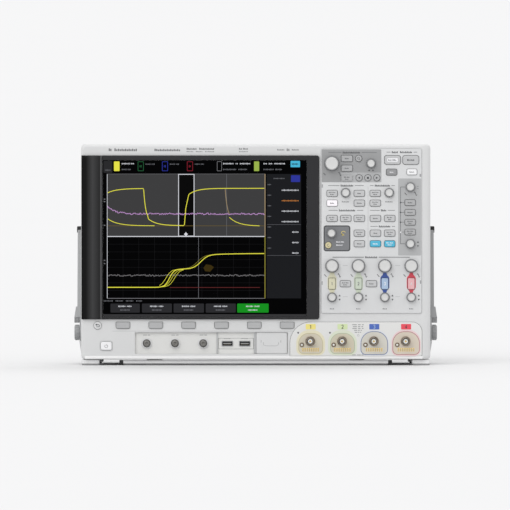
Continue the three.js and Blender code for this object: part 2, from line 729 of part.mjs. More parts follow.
function rearConnectors() {
  const { left, right, bottom, top, margin, front, back } = REAR_PLATE;
  const sheet = block(left - margin, right + margin, front, back, bottom - margin, top + margin);
  const boxOf = ({ x, z, width, height }, y0, y1) =>
    block(x - width / 2, x + width / 2, y0, y1, z - height / 2, z + height / 2);
  const mouthOf = ({ x, z, mouthWidth, mouthHeight, floor }) =>
    boxOf({ x, z, width: mouthWidth, height: mouthHeight }, floor, SOCKET_BACK + 1);
  const coax = REAR_COAX;
  const profile = [
    [0, coax.floor],
    [coax.bore, coax.floor],
    [coax.bore, coax.tip],
    [coax.barrel, coax.tip],
    [coax.barrel, coax.collar],
    [coax.body, coax.collar],
    [coax.body, coax.front],
    [0, coax.front],
  ];
  const base = joined(
    sheet,
    boxOf(JACK, JACK.front, SOCKET_BACK),
    boxOf(DEVICE_PORT, DEVICE_PORT.front, SOCKET_BACK),
    boxOf(VIDEO_PORT, VIDEO_PORT.front, VIDEO_BACK),
    ...REAR_JACKS.map(([x, z]) => turned(x, z, profile, 16)),
  );
  return cut(base, mouthOf(JACK), mouthOf(DEVICE_PORT));
}

// ---- Handle, hubs, stand and feet ----
const armLength = Math.hypot(GRIP.y - PIVOT.y, GRIP.z - PIVOT.z);
const armTilt = Math.atan2(GRIP.z - PIVOT.z, GRIP.y - PIVOT.y);

// One arm, made lying along +Y from the hinge line, then turned up to its rest angle.
function handleArm(side) {
  const span = (a, b) => mirrored(side, a, b);
  const { inner, outer, eyeOuter, halfWidth } = ARM;
  const { start, end, outer: shoulderOuter, topOuter, halfWidth: shoulderHalf } = SHOULDER;
  const eye = rodAlongX(...span(inner, eyeOuter), 0, 0, ARM.eye, 24);
  const neck = block(...span(inner, eyeOuter), 0, ARM_NECK.end, -ARM_NECK.halfWidth, ARM_NECK.halfWidth);
  const arm = block(...span(inner, outer), start, armLength, -halfWidth, halfWidth);
  const tip = rodAlongX(...span(inner, outer), armLength, 0, GRIP.radius, 18);
  const outline = [
    [inner, start],
    [shoulderOuter, start],
    [topOuter, end],
    [inner, end],
  ];
  const wedge = new THREE.Shape(outline.map(([x, y]) => new THREE.Vector2(side * x, y)));
  const options = { depth: 2 * shoulderHalf, bevelEnabled: false };
  const shoulder = new THREE.ExtrudeGeometry(wedge, options).translate(0, 0, -shoulderHalf);
  const hole = rodAlongX(...span(inner - 1, eyeOuter + 1), 0, 0, ARM.hole, 20);
  return cut(joined(eye, neck, arm, tip, shoulder), hole);
}

function handle() {
  const bar = rodAlongX(-ARM.inner - 1, ARM.inner + 1, armLength, 0, GRIP.bar, 14);
  return joined(handleArm(1), handleArm(-1), bar).rotateX(armTilt).translate(0, PIVOT.y, PIVOT.z);
}

// The grip is a rubber tube over the cross bar.
function handleGrip() {
  const length = 2 * (ARM.inner - GAP);
  const inner = GRIP.bar + GAP;
  const section = [
    [inner, 0],
    [GRIP.radius, 0],
    [GRIP.radius, length],
    [inner, length],
    [inner, 0],
  ];
  const tube = new THREE.LatheGeometry(section.map(([r, h]) => new THREE.Vector2(r, h)), 18);
  return tube.rotateZ(Math.PI / 2).translate(length / 2, GRIP.y, GRIP.z);
}

function handleHub(side) {
  const boss = rodAlongX(...mirrored(side, HUB.inner, HUB.shoulder + 0.5), PIVOT.y, PIVOT.z, HUB.boss, 20);
  const cap = rodAlongX(...mirrored(side, HUB.shoulder, HUB.outer), PIVOT.y, PIVOT.z, HUB.cap, 24);
  return joined(boss, cap);
}

// A cross bar under the front edge, on two legs that swing on pins under the case.
function tiltStand() {
  const { axisY, axisZ, barFront, barBack, barTop, bottom: barBottom, halfWidth } = STAND;
  const parts = [block(-halfWidth, halfWidth, barFront, barBack, barBottom, barTop)];
  const { inner, outer, bottom, top } = STAND_LEG;
  const pinReach = 3.4; // how far a pin stands out of its leg, into the lug
  for (const side of [1, -1]) {
    const leg = mirrored(side, inner, outer);
    parts.push(block(...leg, barBack - 1, axisY, bottom, top));
    parts.push(rodAlongX(...leg, axisY, axisZ, STAND_KNUCKLE, 12));
    parts.push(rodAlongX(...mirrored(side, inner - pinReach, outer + pinReach), axisY, axisZ, STAND_PIN, 10));
  }
  return joined(...parts);
}

function frontFoot(side) {
  return block(...mirrored(side, FOOT.inner, FOOT.outer), FOOT.front, FOOT.back, 0, FOOT.top);
}

// ---- The assembly ----
add("front_bezel", frontBezel(), "shell");
add("display_surround", displaySurround(), "dark");
add("touch_glass", touchGlass(), "glass");
add("lcd_module", lcdModule(), "steel");
add("control_overlay", controlOverlay(), "overlay");
add("keypad_mat", keypadMat(), "key");
add("keyboard_board", keyboardBoard(), "board");
for (const [name, x, z, size] of KNOBS) add(name, knob(x, z, size), "knob");
const channelLooks = ["channelYellow", "channelGreen", "channelBlue", "channelRed"];
PANEL_KEYS.forEach(([name, x, z, w, h], i) => {
  add(name, panelKey(x, z, w, h, MAT.keyFront, KEY_BACK), i < 2 ? "key" : channelLooks[i - 2]);
});
for (const i of softKeyIndexes) {
  const { width, height, z } = SOFT_KEY;
  add(`soft_key_${i + 1}`, panelKey(softKeyX(i), z, width, height, FACE_KEY.front, FACE_KEY.back), "key");
}
const backKey = disc(BACK_KEY.x, BACK_KEY.z, BACK_KEY.radius);
add("back_key", plate(backKey, FACE_KEY.front, FACE_KEY.back), "key");
const { x: powerX, z: powerZ, width: powerWidth, height: powerHeight } = POWER_KEY;
add("power_key", panelKey(powerX, powerZ, powerWidth, powerHeight, FACE_KEY.front, FACE_KEY.back), "knob");
add("input_panel", inputPanel(), "panel");
for (const channel of CHANNELS) add(`channel_${channel}_input`, channelInput(channel), "brass");
add("connector_panel", connectorPanel(), "panel");
add("test_terminals", testTerminals(), "steel");
add("usb_ports", usbPorts(), "dark");
add("digital_input_blank", digitalBlank(), "panel");
add("rear_case", rearCase(), "shell");
add("chassis", chassis(), "steel");
add("acquisition_board", acquisitionBoard(), "board");
add("power_supply", powerSupply(), "steel");
add("fan_frame", fanFrame(), "dark");
add("fan_rotor", fanRotor(), "dark");
add("ac_inlet", acInlet(), "dark");
add("rear_connectors", rearConnectors(), "steel");
add("handle", handle(), "arm");
add("handle_grip", handleGrip(), "rubber");
for (const [label, side] of [["left", -1], ["right", 1]]) {
  add(`handle_hub_${label}`, handleHub(side), "arm");
  add(`front_foot_${label}`, frontFoot(side), "rubber");
}
add("tilt_stand", tiltStand(), "shell");

export default assembly;
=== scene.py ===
from collections import defaultdict
import math
import random

import bmesh
import bpy
from mathutils import Matrix, Vector
from mathutils.geometry import tessellate_polygon


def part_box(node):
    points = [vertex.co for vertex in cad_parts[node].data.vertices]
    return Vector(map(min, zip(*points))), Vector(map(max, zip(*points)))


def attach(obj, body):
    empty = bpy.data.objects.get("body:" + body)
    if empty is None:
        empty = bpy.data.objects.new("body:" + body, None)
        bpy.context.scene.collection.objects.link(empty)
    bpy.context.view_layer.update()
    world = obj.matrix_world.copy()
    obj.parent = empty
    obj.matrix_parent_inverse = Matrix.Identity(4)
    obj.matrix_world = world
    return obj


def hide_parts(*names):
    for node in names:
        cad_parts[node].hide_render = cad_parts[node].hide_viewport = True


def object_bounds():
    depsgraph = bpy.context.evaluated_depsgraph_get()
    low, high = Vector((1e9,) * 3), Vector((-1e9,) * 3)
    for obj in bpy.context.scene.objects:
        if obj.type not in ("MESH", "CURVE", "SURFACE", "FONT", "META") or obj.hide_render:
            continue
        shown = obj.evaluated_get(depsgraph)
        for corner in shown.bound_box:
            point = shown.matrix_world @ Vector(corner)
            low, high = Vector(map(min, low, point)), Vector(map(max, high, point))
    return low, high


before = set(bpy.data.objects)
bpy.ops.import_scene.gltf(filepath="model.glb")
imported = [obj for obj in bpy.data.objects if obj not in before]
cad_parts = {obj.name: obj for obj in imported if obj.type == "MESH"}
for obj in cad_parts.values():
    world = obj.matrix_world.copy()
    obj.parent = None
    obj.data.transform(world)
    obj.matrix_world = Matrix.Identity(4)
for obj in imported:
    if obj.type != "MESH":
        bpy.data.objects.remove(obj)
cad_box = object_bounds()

MM = 0.001
SHARP = math.radians(38)
CHANNELS = (1, 2, 3, 4)
SIDES = (1, -1)


# ---------------------------------------------------------------- places in millimetres, read from the frame
def low(node):
    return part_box(node)[0] / MM


def high(node):
    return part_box(node)[1] / MM


def front_of(node):
    return low(node).y


def back_of(node):
    return high(node).y


def half_width(node):
    return (high(node).x - low(node).x) / 2


def spot(node):
    """(x, z) of a node's centre."""
    middle = (low(node) + high(node)) / 2
    return middle.x, middle.z


def rect(node, grow=0.0):
    """(x0, x1, z0, z1) of a node seen from the front."""
    a, b = low(node), high(node)
    return a.x - grow, b.x + grow, a.z - grow, b.z + grow


def span(side, near, far):
    """Two distances from the middle as (smaller x, larger x) on one side."""
    return sorted((side * near, side * far))


def axes(x, y, z, at=(0, 0, 0)):
    """The matrix that sends local X, Y and Z along these directions, from a point."""
    return Matrix((*zip(x, y, z, at), (0, 0, 0, 1)))


FACING_SIDE = axes((0, 1, 0), (1, 0, 0), (0, 0, 1))  # an outline in Y and Z, with its depth along X
FACING_DOWN = axes((1, 0, 0), (0, 0, -1), (0, 1, 0))  # an outline in X and Y, with its depth downwards
FACING_BACK = axes((-1, 0, 0), (0, -1, 0), (0, 0, 1))  # an outline seen from behind, its depth towards -Y


# ---------------------------------------------------------------- materials
def add_node(tree, kind, **inputs):
    node = tree.nodes.new("ShaderNode" + kind)
    for key, value in inputs.items():
        node.inputs[key.replace("_", " ")].default_value = value
    return node


def join(tree, *links):
    """Each link is (node, output, node, input)."""
    for source, output, target, socket in links:
        tree.links.new(source.outputs[output], target.inputs[socket])


def material(name, color, roughness, grain=1800, bump=0.25, tint=0.05, stretch=(1, 1, 1), rough_vary=0.08,
             tint_scale=30, **sockets):
    """A moulded, painted or metal surface: large soft colour drift, fine grain in bump and roughness."""
    mat = bpy.data.materials.new(name)
    mat.use_nodes = True
    tree = mat.node_tree
    shader = tree.nodes["Principled BSDF"]
    for key, value in sockets.items():
        shader.inputs[key.replace("_", " ")].default_value = value
    coords = add_node(tree, "TexCoord")
    place = add_node(tree, "Mapping", Scale=stretch)
    drift = add_node(tree, "TexNoise", Scale=tint_scale, Detail=4)
    mix = add_node(tree, "Mix")
    mix.data_type = "RGBA"
    for key, factor in (("A", 1 - tint), ("B", 1 + tint)):
        mix.inputs[key].default_value = (*[min(1.0, c * factor) for c in color], 1)
    fine = add_node(tree, "TexNoise", Scale=grain, Detail=2)
    spread = add_node(tree, "MapRange", To_Min=max(0.02, roughness - rough_vary),
                      To_Max=min(1.0, roughness + rough_vary))
    relief = add_node(tree, "Bump", Strength=bump, Distance=0.00006)
    join(tree, (coords, "Object", place, "Vector"), (place, "Vector", drift, "Vector"),
         (drift, "Fac", mix, "Factor"), (mix, "Result", shader, "Base Color"),
         (place, "Vector", fine, "Vector"), (fine, "Fac", spread, "Value"),
         (spread, "Result", shader, "Roughness"), (fine, "Fac", relief, "Height"),
         (relief, "Normal", shader, "Normal"))
    return mat


def glowing(name, color):
    """A lit display element: colour that shines by itself on an almost black surface."""
    return material(name, [c * 0.02 for c in color], 0.3, 4000, 0.02, Specular_IOR_Level=0.03,
                    Emission_Color=(*color, 1), Emission_Strength=1.0)


# Each line: name, colour, roughness, scale of the grain, strength of its bump, colour drift.
MATS = {
    "shell": material("case_plastic_fine", (0.62, 0.623, 0.625), 0.42, 1500, 0.22, 0.012),
    "shell_rear": material("case_plastic_rear", (0.55, 0.553, 0.556), 0.5, 1100, 0.4, 0.015),
    "lip": material("case_lip_painted_highlight", (0.80, 0.80, 0.80), 0.4, 1500, 0.2, 0.012),
    "panel": material("input_panel_plastic", (0.69, 0.69, 0.68), 0.46, 1500, 0.22, 0.015),
    "bay": material("connector_bay_plastic", (0.675, 0.675, 0.66), 0.5, 1500, 0.22, 0.015),
    "band": material("bay_band_plastic", (0.42, 0.425, 0.43), 0.5, 1500, 0.22, 0.02),
    "stand": material("stand_plastic_pale", (0.74, 0.74, 0.745), 0.42, 1500, 0.22, 0.015),
    "hub": material("hub_plastic_grey", (0.30, 0.305, 0.31), 0.45, 1400, 0.25, 0.03),
    "arm": material("handle_painted_grey", (0.345, 0.35, 0.355), 0.42, 1400, 0.25, 0.03),
    "black": material("black_plastic_matt", (0.012, 0.012, 0.013), 0.55, 1200, 0.35, 0.15),
    "rubber": material("soft_black_rubber", (0.014, 0.014, 0.015), 0.75, 900, 0.5, 0.2),
    "foot": material("foot_rubber_grey", (0.28, 0.281, 0.285), 0.7, 900, 0.5, 0.12),
    "surround": material("surround_plastic_satin", (0.026, 0.026, 0.028), 0.36, 1600, 0.2, 0.08,
                         Specular_IOR_Level=0.15),
    "glass": material("screen_glass_black", (0.0008, 0.0008, 0.001), 0.12, 90, 0.0, 0.2, rough_vary=0.02,
                      Specular_IOR_Level=0.012),
    "overlay": material("overlay_plastic_fine", (0.615, 0.62, 0.625), 0.46, 1700, 0.2, 0.012),
    "zone_deep": material("overlay_print_zone_deep", (0.295, 0.298, 0.302), 0.46, 1700, 0.2, 0.015),
    "zone": material("overlay_print_zone", (0.40, 0.405, 0.41), 0.46, 1700, 0.2, 0.015),
    "entry_zone": material("overlay_print_entry", (0.175, 0.18, 0.19), 0.42, 1700, 0.2, 0.03),
    "entry_border": material("overlay_print_border", (0.045, 0.047, 0.05), 0.45, tint=0.04),
    "print": material("print_dark_ink", (0.055, 0.057, 0.062), 0.5, tint=0.08),
    "print_mid": material("print_mid_ink", (0.14, 0.143, 0.15), 0.5, tint=0.06),
    "print_soft": material("print_soft_ink", (0.30, 0.305, 0.31), 0.5, tint=0.06),
    "print_faint": material("print_faint_ink", (0.42, 0.424, 0.43), 0.5, tint=0.04),
    "print_white": material("print_white_ink", (0.80, 0.80, 0.82), 0.5, tint=0.03),
    "print_amber": material("print_amber_ink", (0.62, 0.50, 0.16), 0.5, tint=0.05),
    "knob": material("knob_cap_plastic", (0.60, 0.60, 0.595), 0.32, 1900, 0.12, 0.01, Coat_Weight=0.15,
                     Coat_Roughness=0.3),
    "skirt": material("knob_skirt_plastic", (0.19, 0.193, 0.2), 0.48, 1500, 0.25, 0.04),
    "key": material("keypad_rubber_grey", (0.49, 0.494, 0.50), 0.55, 1300, 0.2, 0.02),
    "key_zone": material("keypad_rubber_zone", (0.38, 0.383, 0.388), 0.55, 1300, 0.2, 0.02),
    "key_dark": material("keypad_rubber_dark", (0.27, 0.272, 0.278), 0.55, 1300, 0.2, 0.03),
    "key_white": material("keypad_rubber_white", (0.80, 0.80, 0.81), 0.5, 1300, 0.15, 0.01),
    "key_lit": material("keypad_rubber_lit", (0.90, 0.86, 0.90), 0.5, 1300, 0.15, 0.02),
    "key_amber": material("keypad_rubber_amber", (0.60, 0.54, 0.32), 0.5, 1300, 0.15, 0.03),
    "key_cyan": material("keypad_rubber_cyan", (0.07, 0.42, 0.60), 0.5, 1300, 0.2, 0.04),
    "key_pale": material("key_plastic_pale", (0.47, 0.474, 0.48), 0.45, 1300, 0.2, 0.02),
    "key_soft": material("key_plastic_soft_key", (0.40, 0.403, 0.408), 0.45, 1300, 0.2, 0.02),
    "steel": material("plated_steel", (0.55, 0.56, 0.57), 0.34, 500, 0.15, stretch=(1, 6, 1), Metallic=1.0),
    "sheet": material("zinc_sheet", (0.42, 0.43, 0.44), 0.45, 300, 0.1, 0.12, tint_scale=90, Metallic=1.0),
    "nut": material("jack_nut_bronze", (0.36, 0.31, 0.26), 0.4, 900, tint=0.1, stretch=(1, 5, 1),
                    Metallic=1.0),
    "bronze": material("aged_bronze", (0.20, 0.155, 0.11), 0.36, 900, tint=0.12, stretch=(1, 5, 1),
                       Metallic=1.0),
    "gold": material("contact_gold", (0.80, 0.60, 0.26), 0.25, 900, tint=0.06, Metallic=1.0),
    "stud": material("terminal_metal_dull", (0.20, 0.195, 0.185), 0.42, 700, tint=0.15, Metallic=0.85),
    "label": material("rating_plate_film", (0.62, 0.625, 0.63), 0.38, 2600, 0.08, 0.02),
    "ptfe": material("insulator_white", (0.78, 0.78, 0.74), 0.35, 800, 0.05, 0.02),
    "board": material("solder_mask_green", (0.012, 0.10, 0.045), 0.3, 260, 0.3, 0.35, tint_scale=160),
}
# What is coloured by channel: end of the material's name, roughness, colour drift, its scale, four colours.
CHANNEL_LOOKS = {
    "": ("ink", 0.45, 0.05, 30,
         (0.78, 0.68, 0.20), (0.60, 0.70, 0.40), (0.06, 0.13, 0.46), (0.74, 0.06, 0.09)),
    "_key": ("key_plastic", 0.42, 0.03, 30,
             (0.60, 0.58, 0.42), (0.52, 0.58, 0.48), (0.36, 0.47, 0.64), (0.72, 0.40, 0.42)),
    "_band": ("band_ink", 0.45, 0.04, 30,
              (0.62, 0.60, 0.44), (0.55, 0.61, 0.49), (0.035, 0.08, 0.32), (0.62, 0.05, 0.08)),
    "_halo": ("halo_ink", 0.45, 0.03, 60,
              (0.71, 0.67, 0.50), (0.65, 0.69, 0.56), (0.66, 0.67, 0.70), (0.73, 0.57, 0.58)),
    "_line": ("line_ink", 0.45, 0.05, 30,
              (0.50, 0.45, 0.27), (0.40, 0.46, 0.32), (0.10, 0.15, 0.30), (0.40, 0.16, 0.17)),
    "_wash": ("wash_ink", 0.45, 0.05, 60,
              (0.59, 0.545, 0.44), (0.58, 0.54, 0.42), (0.60, 0.58, 0.52), (0.62, 0.55, 0.46)),
}
for ending, (kind, roughness, tint, scale, *colors) in CHANNEL_LOOKS.items():
    for c, color in zip(CHANNELS, colors):
        MATS[f"channel_{c}{ending}"] = material(f"channel_{c}_{kind}", color, roughness, tint=tint,
                                                tint_scale=scale)


def painted_shade_strip_material():
    """The surround's left strip, with painted shade and a painted highlight: dark where it turns away, paler
    over its crown, with a thin bright edge.
    """
    mat = material("surround_plastic_strip_painted_shade", (0.03, 0.03, 0.032), 0.36, 1600, 0.2, Specular_IOR_Level=0.05)
    tree = mat.node_tree
    coords, split = add_node(tree, "TexCoord"), add_node(tree, "SeparateXYZ")
    across = add_node(tree, "MapRange", From_Min=low("display_surround").x * MM,
                      From_Max=low("touch_glass").x * MM)
    tone = add_node(tree, "ValToRGB")
    # Painted shade and highlight across the strip's width: (share of the width, grey value).
    shade_stops = ((0.0, 0.006), (0.22, 0.008), (0.52, 0.047), (0.86, 0.018), (0.90, 0.09), (0.97, 0.09),
             (1.0, 0.02))
    while len(tone.color_ramp.elements) < len(shade_stops):
        tone.color_ramp.elements.new(0.5)
    for element, (place, value) in zip(tone.color_ramp.elements, shade_stops):
        element.position = place
        element.color = (value, value, value * 1.03, 1)
    join(tree, (coords, "Object", split, "Vector"), (split, "X", across, "Value"),
         (across, "Result", tone, "Fac"), (tone, "Color", tree.nodes["Principled BSDF"], "Base Color"))
    return mat


MATS["strip_painted_shade"] = painted_shade_strip_material()


# ---------------------------------------------------------------- outlines
def arc(cx, cy, radius, a0, a1, steps):
    turns = [math.radians(a0 + (a1 - a0) * i / steps) for i in range(steps + 1)]
    return [(cx + radius * math.cos(t), cy + radius * math.sin(t)) for t in turns]


def rounded(x0, x1, z0, z1, radius, steps=6):
    """A rectangle with round corners, anticlockwise. radius is one number or (bl, br, tr, tl)."""
    bl, br, tr, tl = radius if isinstance(radius, tuple) else [radius] * 4
    return (arc(x0 + bl, z0 + bl, bl, 180, 270, steps) + arc(x1 - br, z0 + br, br, 270, 360, steps)
            + arc(x1 - tr, z1 - tr, tr, 0, 90, steps) + arc(x0 + tl, z1 - tl, tl, 90, 180, steps))


def square(x0, x1, z0, z1):
    """A rectangle with sharp corners, anticlockwise."""
    return [(x0, z0), (x1, z0), (x1, z1), (x0, z1)]


def around(x, z, half_w, half_h, radius, steps=3):
    """A rectangle with round corners about its middle."""
    return rounded(x - half_w, x + half_w, z - half_h, z + half_h, radius, steps)


def circle(x, z, radius, steps=32):
    return arc(x, z, radius, 0, 360 - 360 / steps, steps - 1)


def inset(points, distance):
    """Moves a closed anticlockwise outline inwards by a mitred distance."""
    out = []
    for i, point in enumerate(points):
        p = Vector(point)
        before = p - Vector(points[i - 1])
        after = Vector(points[(i + 1) % len(points)]) - p
        if before.length < 1e-6 or after.length < 1e-6:
            before = after = max(before, after, key=lambda side: side.length)
        mitre = sum((Vector((-side.y, side.x)).normalized() for side in (before, after)), Vector((0, 0)))
        out.append(tuple(p + mitre * min(2.0, 2 / max(mitre.length_squared, 1e-6)) * distance))
    return out


def corner(a, b, c, radius, steps):
    """The points that round off corner b between a and c."""
    b = Vector(b)
    d1, d2 = Vector(a) - b, Vector(c) - b
    reach = min(radius, d1.length * 0.45, d2.length * 0.45)
    if reach < 0.02:
        return [tuple(b)]
    p, q = b + d1.normalized() * reach, b + d2.normalized() * reach
    shares = [k / steps for k in range(steps + 1)]
    return [tuple((1 - t) ** 2 * p + 2 * t * (1 - t) * b + t * t * q) for t in shares]


def soften(points, radius, steps=4):
    """Rounds the corners of a closed outline."""
    following = points[1:] + points[:1]
    return [p for i, b in enumerate(points) for p in corner(points[i - 1], b, following[i], radius, steps)]


def fillet(profile, radius, steps=3):
    """Rounds the inner corners of an open (radius, position) profile."""
    inner = [p for abc in zip(profile, profile[1:], profile[2:]) for p in corner(*abc, radius, steps)]
    return [profile[0]] + inner + [profile[-1]]


def edge_steps(front, edge, steps, direction=1):
    """(depth, inset) pairs of a quarter round that ends on the front. edge is (inset, depth) or a radius."""
    across, deep = edge if isinstance(edge, tuple) else (edge, edge)
    turns = [math.radians(90 * i / steps) for i in range(steps + 1)]
    return [(front + direction * deep * (1 - math.sin(t)), across * (1 - math.cos(t))) for t in turns]


# ---------------------------------------------------------------- mesh making
def place_object(name, data):
    item = bpy.data.objects.new(name, data)
    bpy.context.scene.collection.objects.link(item)
    return item


def smooth(mesh):
    mesh.shade_smooth()
    mesh.set_sharp_from_angle(angle=SHARP)


def bake_mesh(name, bm):
    """Turns a bmesh in millimetres into a mesh in metres with its faces outwards."""
    bmesh.ops.recalc_face_normals(bm, faces=bm.faces)
    bmesh.ops.scale(bm, vec=(MM, MM, MM), verts=bm.verts)
    mesh = bpy.data.meshes.new(name)
    bm.to_mesh(mesh)
    bm.free()
    return mesh


def finish(name, bm, mat, body="case", weighted=True, slot=None, replaces=()):
    """Turns a bmesh in millimetres into a smooth-shaded piece that rides on a body."""
    bmesh.ops.remove_doubles(bm, verts=bm.verts, dist=1e-5)
    mesh = bake_mesh(name, bm)
    smooth(mesh)
    mesh.materials.append(MATS[mat])
    piece = place_object(name, mesh)
    if weighted:
        modifier = piece.modifiers.new("even_normals", "WEIGHTED_NORMAL")
        modifier.keep_sharp = True
    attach(piece, body)
    if replaces:
        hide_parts(*replaces)
    return piece


def ring(bm, points, depth):
    return [bm.verts.new((x, depth, z)) for x, z in points]


def strips(bm, rings):
    """Faces between closed rings of equal length."""
    for a, b in zip(rings, rings[1:]):
        for i in range(len(a)):
            bm.faces.new((a[i - 1], a[i], b[i], b[i - 1]))


def cap(bm, loops):
    """A flat face between an outer ring and the rings of its holes."""
    flat = [v for loop in loops for v in loop]
    for corners in tessellate_polygon([[Vector((v.co.x, v.co.z, 0)) for v in loop] for loop in loops]):
        if len(set(corners)) == 3:
            bm.faces.new([flat[i] for i in corners])


def skin(bm, grid):
    """Faces between the rows of a grid. The result is its closed border."""
    for a, b in zip(grid, grid[1:]):
        for i in range(1, len(a)):
            bm.faces.new((a[i - 1], a[i], b[i], b[i - 1]))
    return grid[0] + [row[-1] for row in grid[1:-1]] + grid[-1][::-1] + [row[0] for row in grid[-2:0:-1]]


def add_slab(bm, outline, front, back, holes=(), edge=0.3, hole_edge=0.2, steps=3, back_edge=0.0,
             matrix=None):
    """A plate in X and Z between front and back, with rounded front edges on its outline and its holes."""
    start = [(back, back_edge), (back - back_edge * 0.3, back_edge * 0.3), (back - back_edge, 0.0)]
    loops = []
    for points, radius in [(outline, edge)] + [(hole[::-1], hole_edge) for hole in holes]:
        sections = start if back_edge else start[:1]
        sections = sections + (edge_steps(front, radius, steps) if radius else [(front, 0.0)])
        rings = [ring(bm, inset(points, shift) if shift else points, depth) for depth, shift in sections]
        strips(bm, rings)
        loops.append(rings)
    for side in (0, -1):
        cap(bm, [rings[side] for rings in loops])
    if matrix is not None:
        bmesh.ops.transform(bm, matrix=matrix, verts=[v for rings in loops for one in rings for v in one])


def slab(name, outline, front, back, mat, body="case", slot=None, replaces=(), **shape):
    bm = bmesh.new()
    add_slab(bm, outline, front, back, **shape)
    return finish(name, bm, mat, body, slot=slot, replaces=replaces)


def add_turned(bm, profile, segments=48, at=(0, 0), axis="Y"):
    """A solid of revolution about an axis through at. profile is (radius, position along the axis)."""
    rings = []
    for radius, place in profile:
        turns = [2 * math.pi * i / segments for i in range(segments)] if radius > 1e-6 else [0]
        points = [(at[0] + radius * math.cos(t), at[1] + radius * math.sin(t)) for t in turns]
        rings.append([bm.verts.new((u, place, v) if axis == "Y" else (place, u, v)) for u, v in points])
    for a, b in zip(rings, rings[1:]):
        for i in range(segments):
            j = (i + 1) % segments
            if len(a) == 1 and len(b) > 1:
                bm.faces.new((a[0], b[j], b[i]))
            elif len(b) == 1 and len(a) > 1:
                bm.faces.new((a[i], a[j], b[0]))
            elif len(a) > 1:
                bm.faces.new((a[i], a[j], b[j], b[i]))


def turned(name, profile, mat, body="case", at=(0, 0), axis="Y", segments=48, slot=None, replaces=()):
    bm = bmesh.new()
    add_turned(bm, profile, segments, at, axis)
    return finish(name, bm, mat, body, weighted=False, slot=slot, replaces=replaces)


def flute(bm, at, along, extent, reach_from, count, depth, power):
    """Presses grip flutes into a turned piece about axis along (0 is X, 1 is Y), over an extent of it."""
    across = 1 - along
    for vert in bm.verts:
        u, v = vert.co[across] - at[0], vert.co.z - at[1]
        reach = math.hypot(u, v)
        if reach > reach_from and extent[0] < vert.co[along] < extent[1]:
            share = 1 - depth * (0.5 - 0.5 * math.cos(math.atan2(v, u) * count)) ** power / reach
            vert.co[across], vert.co.z = at[0] + u * share, at[1] + v * share


def moulding(name, outline, holes, front, face_back, rim, mat, edge, hole_edge, direction=1, shape=None,
             slot=None, replaces=()):
    """An open box moulding: a front wall with holes, a rounded outer edge and a rim wall. direction is 1
    towards +Y. shape(share) gives the outline at a share of the rounding, if its sides are rounded unlike."""
    bm = bmesh.new()
    shape = shape or (lambda shift: inset(outline, shift))
    steps = edge_steps(front, edge, 8, direction)
    shell = [ring(bm, outline, rim)] + [ring(bm, shape(s), d) for d, s in steps]
    lining = [ring(bm, inset(outline, WALL), depth) for depth in (rim, face_back)]
    mouths = []
    for points in [hole[::-1] for hole in holes]:
        lips = [ring(bm, inset(points, s), d) for d, s in edge_steps(front, hole_edge, 2, direction)]
        mouths.append([ring(bm, points, face_back)] + lips)
    for rings in [shell, lining] + mouths:
        strips(bm, rings)
    cap(bm, [shell[-1]] + [rings[-1] for rings in mouths])
    cap(bm, [lining[-1]] + [rings[0] for rings in mouths])
    cap(bm, [shell[0], lining[0]])
    return finish(name, bm, mat, slot=slot, replaces=replaces)


def carve(piece, cutters):
    """Cuts closed shapes, given as one bmesh in millimetres, out of a piece. The result is its new mesh."""
    tool = place_object("cutter", bake_mesh("cutter", cutters))
    others = list(piece.modifiers)
    for other in others:
        other.show_viewport = False
    modifier = piece.modifiers.new("cut", "BOOLEAN")
    modifier.object = tool
    modifier.solver = "EXACT"
    graph = bpy.context.evaluated_depsgraph_get()
    result = bpy.data.meshes.new_from_object(piece.evaluated_get(graph))
    piece.modifiers.remove(modifier)
    for other in others:
        other.show_viewport = True
    smooth(result)
    spent = (piece.data, tool.data)
    piece.data = result
    bpy.data.objects.remove(tool)
    for mesh in spent:
        bpy.data.meshes.remove(mesh)


def add_ribbon(bm, points, width, front, back):
    """A flat line of even width, as one closed thin body."""
    left, right = [], []
    for i, point in enumerate(points):
        p = Vector(point)
        along = Vector(points[min(i + 1, len(points) - 1)]) - Vector(points[max(i - 1, 0)])
        along = along.normalized() if along.length > 1e-6 else Vector((1, 0))
        side = Vector((-along.y, along.x)) * width / 2
        left.append(p + side)
        right.append(p - side)
    rails = [ring(bm, left, front), ring(bm, right, front), ring(bm, right, back), ring(bm, left, back)]
    for a, b in zip(rails, rails[1:] + rails[:1]):
        for i in range(len(points) - 1):
            bm.faces.new((a[i], a[i + 1], b[i + 1], b[i]))
    for i in (0, -1):
        bm.faces.new([rail[i] for rail in rails])


def strokes(x0, x1, parts, gap, pitch):
    """Upright strokes in place of printed words: left end, width, number in the word, start of the word."""
    total, x = sum(parts) + gap * (len(parts) - 1), x0
    for part in parts:
        width = (x1 - x0) * part / total
        count = max(1, round(width / pitch))
        for k in range(count):
            yield x + width * k / count, width / count, k, round(x)
        x += width + (x1 - x0) * gap / total


